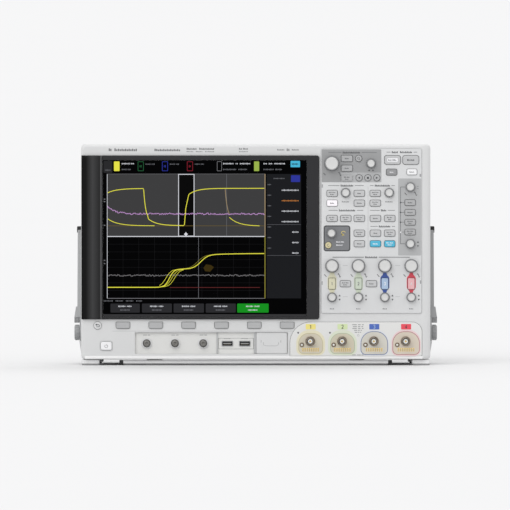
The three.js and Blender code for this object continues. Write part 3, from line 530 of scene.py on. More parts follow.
class Prints:
    """Collects thin printed or lit shapes on one flat face and joins them by colour."""

    def __init__(self, prefix, face, body="case", step=0.04, sink=0.03):
        self.prefix, self.face, self.body, self.step, self.sink = prefix, face, body, step, sink
        self.meshes = defaultdict(bmesh.new)

    def depths(self, layer):
        return self.face - layer * self.step, self.face + self.sink

    def poly(self, mat, outline, layer=1, holes=()):
        add_slab(self.meshes[mat], outline, *self.depths(layer), holes, edge=0, hole_edge=0)

    def rect(self, mat, x0, x1, z0, z1, layer=1, radius=0.0):
        self.poly(mat, rounded(x0, x1, z0, z1, radius, 4) if radius else square(x0, x1, z0, z1), layer)

    def frame(self, mat, x0, x1, z0, z1, width, layer=1, radius=0.0):
        inner = rounded(x0 + width, x1 - width, z0 + width, z1 - width, max(radius - width, 0.05), 4)
        self.poly(mat, rounded(x0, x1, z0, z1, max(radius, 0.05), 4), layer, [inner])

    def ring(self, mat, x, z, radius, width):
        self.poly(mat, circle(x, z, radius, 28), holes=[circle(x, z, radius - width, 28)])

    def disc(self, mat, x, z, radius, layer=1):
        self.poly(mat, circle(x, z, radius, 24), layer)

    def line(self, mat, points, width, layer=1):
        add_ribbon(self.meshes[mat], points, width, *self.depths(layer))

    def bars(self, mat, x0, x1, z, height, parts):
        """Short plain dashes in the place of a printed caption."""
        for left, width, *_ in strokes(x0, x1, parts, 0.12, math.inf):
            radius = min(height, width) * 0.3
            self.rect(mat, left, left + width, z - height / 2, z + height / 2, radius=radius)

    def dashes(self, mat, x0, x1, z, height, parts=(1.0,), layer=3, pitch=1.5):
        """A printed word as plain unreadable strokes: short upright dashes of uneven height."""
        for left, width, k, start in strokes(x0, x1, parts, 0.1, pitch):
            tall = height * (1.0 if k == 0 else 0.66 + 0.2 * ((k * 5 + start) % 2))
            self.rect(mat, left, left + width * 0.66, z - height / 2, z - height / 2 + tall, layer)

    def digit(self, mat, digit, x, z, height, width, layer):
        """A plain number drawn with straight and round strokes."""
        shapes = {
            1: [[(-0.3, 0.28), (0.05, 0.5), (0.05, -0.5)]],
            2: [[(-0.45, 0.26), (-0.3, 0.44), (0, 0.5), (0.32, 0.42), (0.42, 0.2), (0.3, -0.02),
                 (-0.45, -0.48)], [(-0.45, -0.48), (0.48, -0.48)]],
            3: [[(-0.42, 0.36), (-0.1, 0.5), (0.28, 0.44), (0.4, 0.24), (0.26, 0.05), (-0.08, 0.02)],
                [(-0.08, 0.02), (0.3, -0.05), (0.45, -0.25), (0.28, -0.45), (-0.1, -0.5), (-0.45, -0.36)]],
            4: [[(0.22, -0.5), (0.22, 0.5), (-0.48, -0.2)], [(-0.48, -0.2), (0.5, -0.2)]],
        }
        for stroke in shapes[digit]:
            self.line(mat, [(x + u * height * 0.5, z + v * height) for u, v in stroke], width, layer)

    def make(self):
        for mat, bm in self.meshes.items():
            finish(f"{self.prefix}_{mat}", bm, mat, self.body, weighted=False)


def srgb(*channels):
    shares = [c / 255 for c in channels]
    return tuple(c / 12.92 if c <= 0.04045 else ((c + 0.055) / 1.055) ** 2.4 for c in shares)


# ---------------------------------------------------------------- camera, floor and light
DISTANCE = 20.0
ELEVATION = math.radians(1.3)
FRAME_WIDTH = 0.6334
cad_low, cad_high = cad_box
camera = place_object("camera", bpy.data.cameras.new("camera"))
camera.data.sensor_width = 36
camera.data.lens = camera.data.sensor_width * DISTANCE / FRAME_WIDTH
camera.data.clip_end = 900
aim = Vector((-0.0009, front_of("touch_glass") * MM, cad_high.z / 2))
camera.location = aim + DISTANCE * Vector((0, -math.cos(ELEVATION), math.sin(ELEVATION)))
camera.rotation_euler = (math.pi / 2 - ELEVATION, 0, 0)
bpy.context.scene.camera = camera
bpy.context.scene.view_settings.view_transform = "Standard"

floor_bm = bmesh.new()
bmesh.ops.create_grid(floor_bm, x_segments=2, y_segments=2, size=400)
floor_mesh = bpy.data.meshes.new("floor")
floor_bm.to_mesh(floor_mesh)
floor_bm.free()
floor_mesh.materials.append(material("floor_paper_white", (0.765, 0.765, 0.77), 0.8, 60, 0.0, 0.004,
                                     tint_scale=2, Specular_IOR_Level=0.0))
floor = place_object("floor", floor_mesh)

world = bpy.data.worlds.new("studio")
world.use_nodes = True
world.node_tree.nodes["Background"].inputs["Color"].default_value = (1, 1, 1, 1)
world.node_tree.nodes["Background"].inputs["Strength"].default_value = 0.92
bpy.context.scene.world = world


def broad_light(name, azimuth, elevation, strength, angle):
    """A wide, even light from far away. Azimuth 0 is straight in front, positive to the right."""
    lamp = bpy.data.lights.new(name, "SUN")
    lamp.energy = strength
    lamp.angle = math.radians(angle)
    turn, rise = math.radians(azimuth), math.radians(elevation)
    source = Vector((math.sin(turn) * math.cos(rise), -math.cos(turn) * math.cos(rise), math.sin(rise)))
    place_object(name, lamp).rotation_euler = source.to_track_quat("Z", "Y").to_euler()


broad_light("key_light", -22, 38, 0.95, 50)
broad_light("rim_light", 165, 48, 0.45, 40)

# ---------------------------------------------------------------- front moulding
FACE = front_of("front_bezel")
WALL = 3.0
KEY_GAP = 0.35
EDGE = {"left": 3.0, "right": 9.2, "bottom": 2.2, "top": 3.0, "deep": 7.0}
case = rect("front_bezel")
glass = rect("touch_glass", 0.3)
surround = rect("display_surround")
overlay = rect("control_overlay")
bay_plate = rect("connector_panel")
bay = (bay_plate[0] + 3, bay_plate[1] - 2, bay_plate[2] + 3, bay_plate[3] - 2.6)
soft_keys = [f"soft_key_{i}" for i in range(1, 7)]


def key_hole(node, radius, gap=KEY_GAP):
    return rounded(*rect(node, gap), radius, 3)


def inputs_outline(grow=0.0):
    return rounded(*rect("input_panel", grow), (2 + grow, 2 + grow, 12 + grow, 26 + grow), 10)


def front_outline(share):
    """The front moulding's outline; share runs from 0 at its widest to 1 at its flat face."""
    x0, x1, z0, z1 = case
    return rounded(x0 + EDGE["left"] * share, x1 - EDGE["right"] * share, z0 + EDGE["bottom"] * share,
                   z1 - EDGE["top"] * share, 5.0 - 1.0 * share, 8)


moulding("front_moulding", front_outline(0),
         [rounded(glass[0] + 3, glass[1] - 3, glass[2] + 3, glass[3] - 3, 1.5, 3),
          rounded(*rect("control_overlay", 0.3), 2.0, 5),
          inputs_outline(0.3),
          rounded(*bay, 1.6, 4),
          circle(*spot("back_key"), half_width("back_key") + KEY_GAP, 28),
          key_hole("power_key", 2.6)] + [key_hole(node, (2.6, 2.6, 1.2, 1.2)) for node in soft_keys],
         FACE, FACE + WALL, back_of("front_bezel"), "shell", (1.0, EDGE["deep"]), 0.25, shape=front_outline,
         slot="case_plastic", replaces=("front_bezel",))
# A raised bead along the bottom of the face; its colour, paler than the case, is a painted highlight along
# it.
slab("front_lip", rounded(case[0] + 4.5, case[1] - 9.5, case[2] + 0.9, case[2] + 4.5, 1.2, 4), FACE - 0.9,
     FACE + 0.1, "lip", edge=(0.6, 0.8), steps=4, slot="case_plastic")

# ---------------------------------------------------------------- display surround and glass
glass_front = front_of("touch_glass")
strip_right = glass[0] - 1.3
surround_front, surround_back = front_of("display_surround"), back_of("display_surround")


def strip_depth(share):
    """Where the left strip's surface lies at a share of its width: it swells to its crown and falls again."""
    swell = math.sin(math.pi * min(1, 0.12 + share * 0.62)) ** 0.6
    return surround_back - 0.5 + (surround_front - surround_back + 0.5) * swell


def side_strip(end=2.5, steps=18):
    """The surround's bulged left strip, with both its ends rounded off."""
    x0, _, z0, z1 = surround
    shares = [1 - math.cos(math.pi / 2 * i / steps) for i in range(steps + 1)]
    fall = ((0.0, 1.0), (0.12, 0.62), (0.35, 0.3), (0.65, 0.1), (1.0, 0.0))
    rows = [(z0 + end * a, drop) for a, drop in fall] + [(z1 - end * a, drop) for a, drop in fall[::-1]]
    bm = bmesh.new()
    grid = []
    for z, drop in rows:
        points = [(x0 + (strip_right - x0) * t, strip_depth(t)) for t in shares]
        grid.append([bm.verts.new((x, y + (surround_back - 0.4 - y) * drop * 0.6, z)) for x, y in points])
    border = skin(bm, grid)
    rear = [bm.verts.new((v.co.x, surround_back, v.co.z)) for v in border]
    strips(bm, [border, rear])
    bm.faces.new(rear)
    finish("display_side_strip", bm, "strip_painted_shade", slot="surround_plastic")


side_strip()
slab("display_frame", rounded(strip_right + 0.25, *surround[1:], (0.6, 3, 3, 0.6), 5), glass_front - 0.4,
     surround_back, "surround", holes=[rounded(*glass, 0.8, 3)], edge=0.7, hole_edge=0.3,
     slot="surround_plastic", replaces=("display_surround",))
slab("screen_glass", rounded(*rect("touch_glass"), 0.6, 3), glass_front, surround_back, "glass", edge=0.25,
     slot="screen_glass", replaces=("touch_glass",))

# ---------------------------------------------------------------- control overlay
knob_nodes = sorted(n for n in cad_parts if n.endswith("_knob"))
panel_keys = ["run_stop_key", "single_key"] + [f"channel_{c}_key" for c in CHANNELS]
overlay_front = front_of("control_overlay")
pad_front = front_of("keypad_mat")


def islands(node):
    """Boxes (x0, x1, z0, z1) of the separate flat areas on a node's front."""
    mesh, depth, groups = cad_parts[node].data, front_of(node), []
    for face in mesh.polygons:
        points = [mesh.vertices[i].co / MM for i in face.vertices]
        if max(abs(p.y - depth) for p in points) > 0.02:
            continue
        keys = {(round(p.x, 1), round(p.z, 1)) for p in points}
        touching = [g for g in groups if g & keys]
        groups = [g for g in groups if not g & keys] + [keys.union(*touching)]
    bounds = [[sorted(values) for values in zip(*group)] for group in groups]
    return sorted((xs[0], xs[-1], zs[0], zs[-1]) for xs, zs in bounds)


pads = islands("keypad_mat")
pad_centres = [((x0 + x1) / 2, (z0 + z1) / 2) for x0, x1, z0, z1 in pads]


def pad_outline(box, grow=0.0):
    x0, x1, z0, z1 = box
    if abs((x1 - x0) - (z1 - z0)) < 0.5:
        return circle((x0 + x1) / 2, (z0 + z1) / 2, (x1 - x0) / 2 + grow, 28)
    return rounded(x0 - grow, x1 + grow, z0 - grow, z1 + grow, 1.5 + grow, 4)


def key_corner(node):
    """Corner radius of a separate key of the control panel."""
    return 1.4 if node.startswith("channel") else 2.8


overlay_holes = ([pad_outline(p, 0.5) for p in pads] + [circle(*spot(n), 3.4, 24) for n in knob_nodes]
                 + [key_hole(n, key_corner(n), 0.5) for n in panel_keys])
slab("control_overlay_sheet", rounded(*rect("control_overlay", 0.2), 2.0, 5), overlay_front,
     back_of("control_overlay"), "overlay", holes=overlay_holes, edge=0.15, hole_edge=0.15,
     slot="overlay_plastic", replaces=("control_overlay",))

# ---------------------------------------------------------------- what is printed on the overlay
ink = Prints("overlay_print", overlay_front)
left, right, _, _ = overlay
HORIZONTAL = (left + 0.3, 156.0, 227.6, 268.5)
REPLAY = (106.0, 155.7, 227.9, 239.7)
MULTIPLEXED = (176.9, right - 0.3, 136.6, 232.3)
ENTRY = (84.3, 117.5, 141.8, 174.0)
ENTRY_FIELD = (85.7, 116.1, 143.2, 172.6)


def inside(point, box):
    return box[0] < point[0] < box[1] and box[2] < point[1] < box[3]


for mat, box, radius, steps, layer in (("zone_deep", HORIZONTAL, 1.0, 4, 1), ("zone", MULTIPLEXED, 1.0, 4, 1),
                                       ("zone", REPLAY, 0.8, 4, 2), ("entry_border", ENTRY, 3.2, 5, 1),
                                       ("entry_zone", ENTRY_FIELD, 2.2, 5, 2)):
    holes = [hole for hole in overlay_holes if all(inside(p, box) for p in hole)]
    ink.poly(mat, rounded(*box, radius, steps), layer, holes)

# Rule lines with a caption set into each: ends of the line, height, ends and words of the caption.
for x0, x1, z, cap0, cap1, parts in (
        (90.0, 134.0, 223.5, 105.5, 121.5, (1.0,)), (141.9, 172.8, 223.5, 148.0, 167.0, (1.0,)),
        (90.5, 133.5, 192.7, 103.3, 123.9, (1.0,)), (141.9, 172.8, 192.7, 155.6, 162.4, (1.0,)),
        (142.5, 172.8, 172.8, 153.0, 167.4, (1.0,)), (95.5, 191.2, 134.5, 136.0, 151.2, (1.0,)),
        (162.4, 200.4, 265.0, 169.0, 194.5, (0.34, 0.66)), (90.1, 150.4, 264.6, 108.0, 130.0, (1.0,))):
    heavy = 0.42 if z < 140 else 0.3
    ink.rect("print_mid", x0, cap0 - 1.6, z - heavy, z + heavy, 3)
    ink.rect("print_mid", cap1 + 1.6, x1, z - heavy, z + heavy, 3)
    ink.dashes("print", cap0, cap1, z, 2.5, parts)
for x in (111.7, 165.8):
    ink.dashes("print_mid", x - 4.6, x + 4.6, 203.4, 1.5)
ink.rect("print_faint", 139.3, 139.7, 142.5, 222.0, 2)
for x in (111.2, 176.4):
    for z in (124.0, 85.2):
        ink.rect("print_faint", x - 3.0, x + 3.0, z, z + 0.5, 2)


def wave_signs(x, z, radius):
    """Small drawn signs at the lower left (a low wave) and lower right (a tall wave) of a knob."""
    u, v = x - radius * 0.95, z - radius * 1.38
    ink.line("print", [(u - 1.5, v + 1.3), (u - 0.4, v + 0.7), (u + 0.3, v - 0.6), (u + 1.5, v - 1.2)],
             0.8, 3)
    u, v = x + radius * 1.02, z - radius * 1.36
    ink.line("print", [(u - 1.7, v + 1.0), (u - 0.9, v + 2.6), (u + 0.3, v - 0.3), (u + 0.9, v - 2.4),
                       (u + 1.9, v - 1.0)], 0.8, 3)


def up_down(x, z):
    """Solid arrows above each other, beside a position knob."""
    for sign, middle in ((1, z + 2.2), (-1, z - 3.0)):
        ink.poly("print", [(x - 1.25, middle - sign), (x + 1.25, middle - sign), (x, middle + sign * 1.2)], 3)


def left_right(x, z):
    """Solid arrows side by side, under a position knob."""
    for sign in (-1, 1):
        ink.poly("print", [(x + sign * 1.7, z - 1.0), (x + sign * 1.7, z + 1.0), (x + sign * 4.0, z)], 3)


for node in knob_nodes:
    x, z = spot(node)
    if half_width(node) > 8 or node == "multi_scale_knob":
        wave_signs(x, z, half_width(node))
    elif node == "horizontal_position_knob":
        left_right(x, z - 8.7)
    elif "position" in node:
        up_down(x + 9.4, z)

# Channel columns: a coloured band narrows towards the scale knob above and the position knob below.
for c in CHANNELS:
    x, scale_z = spot(f"channel_{c}_scale_knob")
    z_top, z_bottom = scale_z - 7.6, spot(f"channel_{c}_position_knob")[1] + 5.2
    wide, neck = half_width(f"channel_{c}_key") + 1.4, 2.0 if c > 2 else 2.6
    side = [(neck, z_top), (neck + 0.3, z_top - 3.2), (wide, z_top - 6.6), (wide, z_bottom + 6.2),
            (neck + 0.3, z_bottom + 2.6), (neck, z_bottom)]
    outline = [(x + u, v) for u, v in side] + [(x - u, v) for u, v in side[::-1]]
    ink.poly(f"channel_{c}_band", soften(outline, 1.8)[::-1], 3, [key_hole(f"channel_{c}_key", 1.4, 0.5)])
    ink.dashes("print_mid", x - 2.6, x + 2.8, 70.4, 1.4, pitch=1.3)

# The bracket that ties the right-hand column of keys together, ticked at each key.
bracket = 179.8
column = [z for x, z in pad_centres if MULTIPLEXED[0] < x and z < 210]
knob_z = [spot(node)[1] for node in ("multi_position_knob", "multi_scale_knob")]
ink.rect("print_mid", bracket - 0.35, bracket + 0.35, *knob_z, 3)
for z in column:
    ink.poly("print", [(bracket, z - 1.2), (bracket + 1.5, z), (bracket, z + 1.2), (bracket - 1.0, z)], 4)
    ink.rect("print_mid", bracket, bracket + 4.6, z - 0.25, z + 0.25, 3)
for z in knob_z:
    ink.rect("print_mid", bracket, bracket + 5.4, z - 0.35, z + 0.35, 3)
ink.disc("print_white", bracket + 0.3, min(column) - 0.1, 0.9, 5)
for z in (knob_z[1] + 0.8, knob_z[1] - 2.0):
    ink.rect("print_mid", 200.2, 202.2, z - 0.3, z + 0.3, 3)

# Signs in the entry field: a round arrow, two plain caption lines.
ink.line("print_amber", arc(108.9, 164.3, 2.5, 300, 20, 14), 0.75, 4)
ink.poly("print_amber", [(106.0, 163.9), (107.6, 160.6), (109.4, 163.3)], 4)
ink.dashes("print_white", 100.0, 110.0, 153.5, 1.5, (0.6, 0.4), 4, 1.4)
ink.dashes("print_white", 100.0, 108.0, 149.6, 1.5, (1.0,), 4, 1.4)

# Dark marks on the edges of the overlay: painted shade in place of its latch notches.
for x0, x1, z0, z1 in ((right - 2.2, right - 0.2, 234.3, 237.8), (left + 0.2, left + 1.7, 221.0, 225.0),
                       (left + 0.2, left + 1.5, 100.2, 104.6), (right - 1.7, right - 0.2, 101.4, 105.8)):
    ink.rect("print_soft", x0, x1, z0, z1, 2, 0.3)
ink.make()


# ---------------------------------------------------------------- keypad
def nearest_pad(x, z):
    return min(range(len(pads)), key=lambda i: math.dist(pad_centres[i], (x, z)))


pad_mats = ["key_zone" if inside(p, HORIZONTAL) or inside(p, MULTIPLEXED) else "key" for p in pad_centres]
for place, mat in (((148.7, 151.2), "key_cyan"), ((166.4, 151.2), "key_cyan"), ((95, 201.7), "key_lit"),
                   ((168.8, 240.2), "key_dark"), ((194, 240.4), "key_white"), ((90.2, 149.4), "key_amber")):
    pad_mats[nearest_pad(*place)] = mat
slab("keypad_sheet", rounded(*rect("keypad_mat"), 2.5, 4), overlay_front + 3.3, back_of("keypad_mat"),
     "key_dark", holes=[circle(*spot(n), 4.0, 20) for n in knob_nodes], slot="keypad_rubber")
pad_meshes = defaultdict(bmesh.new)
for box, mat in zip(pads, pad_mats):
    add_slab(pad_meshes[mat], pad_outline(box), pad_front, overlay_front + 3.4, edge=(1.1, 0.75), steps=4)
for i, (mat, bm) in enumerate(pad_meshes.items()):
    finish(f"keypad_pads_{mat}", bm, mat, slot="keypad_rubber", replaces=() if i else ("keypad_mat",))

marks = Prints("pad_print", pad_front)


def round_pad_sign(x, z, mat):
    """Plain signs of the round pads: a lens over the row, then arrows left and right of a square."""
    side = round((x - 139.3) / 11)
    if mat == "key_amber":
        marks.line("print", arc(x, z, 1.5, 60, 330, 12), 0.45)
    elif z > 245:
        marks.ring("print", x - 0.4, z + 0.4, 1.5, 0.45)
        marks.line("print", [(x + 0.6, z - 0.7), (x + 1.9, z - 2.0)], 0.5)
    elif side:
        marks.poly("print", [(x - side * 1.2, z - 1.5), (x - side * 1.2, z + 1.5), (x + side * 1.6, z)])
    else:
        marks.rect("print", x - 1.3, x + 1.3, z - 1.3, z + 1.3)


for i, ((x0, x1, _, _), (x, z), mat) in enumerate(zip(pads, pad_centres, pad_mats)):
    if x1 - x0 < 9:
        round_pad_sign(x, z, mat)
        continue
    random.seed(100 + i)
    half = 2.2 + 1.9 * random.random()
    tone = "print_white" if mat in ("key_dark", "key_cyan") else "print"
    if half > 3.2:
        marks.dashes(tone, x - half, x + half, z + 1.2, 1.3, (0.5, 0.5), 1, 1.3)
        marks.dashes(tone, x - half * 0.6, x + half * 0.6, z - 1.3, 1.3, (1.0,), 1, 1.3)
    else:
        marks.dashes(tone, x - half, x + half, z, 1.5, (1.0,), 1, 1.3)
marks.make()


# ---------------------------------------------------------------- knobs
def knob(node):
    """A fluted skirt with its shaft behind it, and a dished cap."""
    at, skirt, tip = spot(node), half_width(node), front_of(node)
    big = skirt > 8
    cap_r = skirt - 1.5
    skirt_back = overlay_front - 0.4
    skirt_front = skirt_back - (3.2 if big else 2.6)
    dial, flutes = node.replace("_knob", "_dial"), 26 if big else 20
    profile = fillet([(0, back_of(node)), (2.9, back_of(node)), (2.9, skirt_back), (skirt, skirt_back),
                      (skirt - 0.25, skirt_front), (cap_r + 0.2, skirt_front - 0.5),
                      (cap_r, skirt_front - 0.5)], 0.5)
    profile += [(cap_r - 0.3, skirt_front - 0.5), (cap_r - 0.3, skirt_front + 1.0), (0, skirt_front + 1.0)]
    bm = bmesh.new()
    add_turned(bm, profile, flutes * 6, at)
    flute(bm, at, 1, (skirt_front - 0.6, skirt_back + 0.1), cap_r + 0.4, flutes, 0.42, 2)
    finish(f"{node}_skirt", bm, "skirt", dial, weighted=False, slot="knob_plastic")
    dish = cap_r * 0.80
    top = fillet([(0, skirt_front + 0.5), (cap_r - 0.05, skirt_front + 0.5), (cap_r - 0.35, tip + 1.2),
                  (cap_r - 1.3, tip), (dish, tip + 0.02), (dish * 0.6, tip + 0.28), (0, tip + 0.45)], 0.9, 4)
    turned(f"{node}_cap", top, "knob", dial, at, segments=72, slot="knob_plastic", replaces=(node,))


for node in knob_nodes:
    knob(node)


# ---------------------------------------------------------------- separate keys
def key(node, outline, mat, edge, slot="key_plastic"):
    """A key's cap. The result takes the prints on it."""
    slab(f"{node}_top", outline, front_of(node), back_of(node), mat, f"{node}_cap", edge=edge, steps=4,
         slot=slot, replaces=(node,))
    return Prints(f"{node}_print", front_of(node), f"{node}_cap")


KEY_SLOTS = ("channel_yellow_plastic", "channel_green_plastic", "channel_blue_plastic", "channel_red_plastic")
for node in panel_keys:
    outline, (x, z) = rounded(*rect(node), key_corner(node) - 0.1, 5), spot(node)
    if node.startswith("channel"):
        c = int(node.split("_")[1])
        mark = key(node, outline, node, (0.9, 0.7), KEY_SLOTS[c - 1])
        mark.digit("print_mid" if c < 3 else "print_white", c, x, z, 3.6, 0.7, 1)
    else:
        mark = key(node, outline, "key_pale", (0.9, 0.7))
        if node == "run_stop_key":
            mark.rect("print_white", x - 6.4, x + 6.4, z - 2.1, z + 2.1, 1, 0.6)
            mark.dashes("print_mid", x - 5.2, x + 5.2, z, 2.2, (0.45, 0.55), 2, 1.6)
        else:
            mark.dashes("print", x - 4.6, x + 4.6, z, 2.2, (1.0,), 1, 1.6)
    mark.make()

# ---------------------------------------------------------------- what the screen shows
LIT = {
    "yellow": (226, 222, 70), "olive": (128, 122, 50), "green": (36, 92, 56), "blue": (44, 52, 150),
    "red": (128, 30, 44), "menu": (40, 40, 42), "side": (26, 27, 30), "upper": (60, 60, 61),
    "zoom": (4, 4, 4), "white": (210, 212, 218), "grey": (122, 122, 126), "tan": (150, 132, 104),
    "pink": (192, 146, 204),
    "brown": (104, 88, 44), "grid": (30, 30, 32), "noise": (136, 134, 136), "dark_red": (98, 40, 40),
    "orange": (190, 120, 60), "cyan": (70, 180, 214), "key": (42, 42, 45), "button": (20, 140, 30),
    "lime": (150, 176, 74), "text": (104, 105, 110), "spread": (56, 44, 12),
}
MATS.update({f"lit_{name}": glowing(f"lit_{name}", srgb(*color)) for name, color in LIT.items()})
screen = Prints("screen", glass_front, step=0.03, sink=0.02)

# Places on the screen are counted right and down from the glass's upper left corner.
WINDOW = (5.3, 200.6)
TOP_ROW, SPLIT_ROW, LOW_ROW = 17.2, 94.8, 171.7


def on_screen(x, y):
    return glass[0] + 0.4 + x, glass[3] - y


def corners(x0, x1, y0, y1):
    """The (x0, x1, z0, z1) of a box on the screen."""
    (left_x, low_z), (right_x, high_z) = on_screen(x0, y1), on_screen(x1, y0)
    return left_x, right_x, low_z, high_z


def block(mat, x0, x1, y0, y1, layer=1, radius=0.0):
    screen.rect(mat, *corners(x0, x1, y0, y1), layer, radius)


def words(mat, x0, x1, y, height=1.8, parts=(1.0,), layer=3):
    """Screen text as unreadable dashes of uneven height."""
    for start, width, k, seed in strokes(x0, x1, parts, 0.08, 1.5):
        tall = height * (0.62 + 0.38 * ((k * 7 + seed) % 3) / 2)
        block(mat, start, start + width * 0.6, y - tall / 2, y + tall / 2, layer)


def curve(mat, points, width=0.5, layer=4):
    screen.line(mat, [on_screen(x, y) for x, y in points], width, layer)


def settle(x0, x1, start, end, pace, count):
    """A trace that runs from one level towards another, quickly at first."""
    places = [x0 + (x1 - x0) * (i / count) ** 2 for i in range(count + 1)]
    return [(x, end + (start - end) * math.exp(-(x - x0) / pace)) for x in places]


def ramp(x, middle, pace):
    return 1 / (1 + math.exp(-max(-40.0, min(40.0, (x - middle) / pace))))


def noisy(mat, level, seed, width=0.55, count=240, spread=1.2):
    """A trace with noise over the whole width of a window."""
    random.seed(seed)
    places = [WINDOW[0] + (WINDOW[1] - WINDOW[0]) * i / count for i in range(count + 1)]
    curve(mat, [(x, level(x) + random.uniform(-spread, spread)) for x in places], width, 3)


block("lit_menu", 0.6, 11.6, 0.8, 15.8, 2, 0.8)
block("lit_side", 203.2, 246.0, TOP_ROW, LOW_ROW)
block("lit_upper", *WINDOW, TOP_ROW, SPLIT_ROW)

# The glass's printed lower border, and the level marks left of both windows.
block("surround", 0.1, glass[1] - glass[0] - 1.0, 191.4, glass[3] - glass[2] - 0.5)
for y in (48.5, 51.5, 81.0, 124.5, 128.5):
    block("lit_grey", 0.9, 2.9, y - 0.5, y + 0.5, 3)

# Status row along the top: one box for each channel, then short readings.
words("lit_text", 2.6, 9.8, 12.4, 1.6)
block("lit_yellow", 13.6, 20.6, 1.6, 13.6, 2, 0.8)
for mat, x in (("lit_green", 43.2), ("lit_blue", 73.3), ("lit_red", 104.3)):
    screen.frame(mat, *corners(x, x + 7.4, 1.6, 13.6), 0.7, 2, 0.9)
    words("lit_text", x + 9.8, x + 21.5, 5.0, 1.5, (0.6, 0.4))
    words(mat, x + 2.4, x + 5.2, 7.6, 3.0)
for x0, x1, parts in ((23.4, 39.0, (0.7, 0.3)), (149.3, 183.3, (0.45, 0.1, 0.45)),
                      (199.5, 226.5, (0.2, 0.2, 0.6))):
    words("lit_white", x0, x1, 4.4, 1.8, parts)
    words("lit_text", x0, x1 - 4, 11.6, 1.8, (0.6, 0.4))
screen.frame("lit_grey", *corners(141.6, 147.6, 1.6, 13.6), 0.5, 2, 0.9)
block("lit_lime", 187.6, 194.0, 1.6, 13.6, 2, 0.8)
block("lit_cyan", 233.0, 244.7, 0.9, 8.8, 2, 0.8)
words("lit_menu", 234.6, 243.0, 4.9, 2.4)
block("lit_blue", 233.5, 244.7, 18.8, 27.2, 2, 0.8)

# Frames and rulings of the two windows, and the box of the enlarged part.
ZOOMED = (93.4, 113.6, TOP_ROW, SPLIT_ROW)
edge_x = 201.2
for y, thick, mat in ((TOP_ROW, 0.3, "lit_grey"), (SPLIT_ROW, 1.0, "lit_white"), (LOW_ROW, 0.6, "lit_grey")):
    block(mat, WINDOW[0], edge_x, y - thick / 2, y + thick / 2, 3)
block("lit_white", WINDOW[0] - 0.3, WINDOW[0] + 0.3, TOP_ROW, LOW_ROW, 3)
block("lit_tan", edge_x - 0.6, edge_x + 0.6, TOP_ROW, SPLIT_ROW, 4)
block("lit_olive", edge_x - 0.6, edge_x + 0.6, SPLIT_ROW, LOW_ROW, 4)
block("lit_zoom", *ZOOMED, 2)
screen.frame("lit_white", *corners(*ZOOMED), 0.9, 3)
block("lit_text", 153.3, 153.8, TOP_ROW, SPLIT_ROW, 2)
for i in range(1, 10):
    x = WINDOW[0] + i * 19.6
    block("lit_grid", x - 0.12, x + 0.12, SPLIT_ROW, LOW_ROW)
for i in range(1, 8):
    y = SPLIT_ROW + i * 9.6
    block("lit_grid", WINDOW[0], edge_x, y - 0.12, y + 0.12)
block("lit_text", 118.4, 118.9, SPLIT_ROW, LOW_ROW, 2)
x, z = on_screen(103, 92)
screen.poly("lit_white", [(x - 2.4, z), (x, z - 2.6), (x + 2.4, z), (x, z + 2.6)], 4)

# Upper window: two square-like traces that mirror each other, and a noisy trace between them.
curve("lit_yellow", settle(5.9, 50.0, 40.6, 35.2, 11, 8) + settle(50.6, 55.6, 37.0, 74.0, 2.4, 6)
      + settle(56.4, 100.0, 73.0, 81.4, 10, 10) + [(101.2, 80.0), (102.8, 60.0), (104.6, 51.5), (106.4, 43.4)]
      + settle(107.2, 151.0, 42.2, 35.0, 10, 12) + [(200.4, 35.0)], 0.9)
curve("lit_tan", settle(151.8, 157.0, 36.0, 72.0, 2.6, 6), 0.9)
curve("lit_yellow", settle(157.0, 194.4, 71.0, 82.0, 11, 10), 0.8)
curve("lit_yellow", settle(5.9, 64.0, 72.9, 81.6, 12, 10), 0.8)
curve("lit_brown", [(5.9, 81.6), (200.4, 81.6)], 0.6, 3)
noisy("lit_pink", lambda x: 66.8 - 10.0 * math.exp(-(x - WINDOW[0]) / 9), 11, 0.8)

# Lower window: the magnified rise, its spread, and the reference traces.
places = [WINDOW[0] + 1.3 * i for i in range(151)]
curve("lit_yellow", [(x, 158.0 - 22.6 * ramp(x, 82.5, 2.9) - 18.0 * ramp(x, 121.5, 4.6)
                      - 1.4 * ramp(x, 150, 16)) for x in places], 1.0, 5)
for shift in (-4.4, 3.0, 6.4):
    curve("lit_yellow", [(x, 157.6 - 22.0 * ramp(x, 82.5 + shift, 3.3)) for x in range(70, 101, 2)])
curve("lit_olive", [(x, 135.2 - 18.0 * ramp(x, 117.5, 4.6)) for x in range(100, 146, 3)])
noisy("lit_noise", lambda x: 143.2, 13)
curve("lit_dark_red", [(83, 158.2), (195, 158.2)], 0.7, 3)
spread = ((124.7, 134), (128, 129.5), (134, 130.3), (137.8, 133), (133, 138.6), (127, 138))
screen.poly("lit_spread", [on_screen(x, y) for x, y in spread], 2)

# Right-hand column of readings, and the menu row.
words("lit_text", 212.0, 226.0, 22.8, 1.5)
for i in range(7):
    words("lit_orange" if i == 1 else "lit_white", 235.0 if i > 3 else 222.0, 243.4, 37.4 + 13.0 * i, 1.9)
    words("lit_text", 204.6, 209.4, 30.4 + 13.15 * i, 1.5)
for y in (80.0, 118.4):
    block("lit_text", 204.0, 245.4, y - 0.15, y + 0.15, 3)
words("lit_text", 1.0, 49.0, 174.9, 1.6, (0.3, 0.25, 0.25, 0.2))
for x0, x1 in ((9.3, 45.7), (48.4, 85.6), (87.7, 125.4), (127.6, 164.9), (166.7, 205.7)):
    middle, pressed = (x0 + x1) / 2, x0 > 166
    block("lit_button" if pressed else "lit_key", x0, x1, 178.2, 189.4, 2, 1.0)
    words("lit_white", middle - 8.5, middle + 8.5, 181.6, 1.9, (0.6, 0.4), 4)
    words("lit_white" if pressed else "lit_text", middle - 6.0, middle + 6.0, 186.2, 1.8, (1.0,), 4)
screen.make()

# ---------------------------------------------------------------- keys under the screen, face print
for node in soft_keys:
    key(node, rounded(*rect(node), (2.3, 2.3, 0.9, 0.9), 5), "key_soft", (1.1, 0.9))

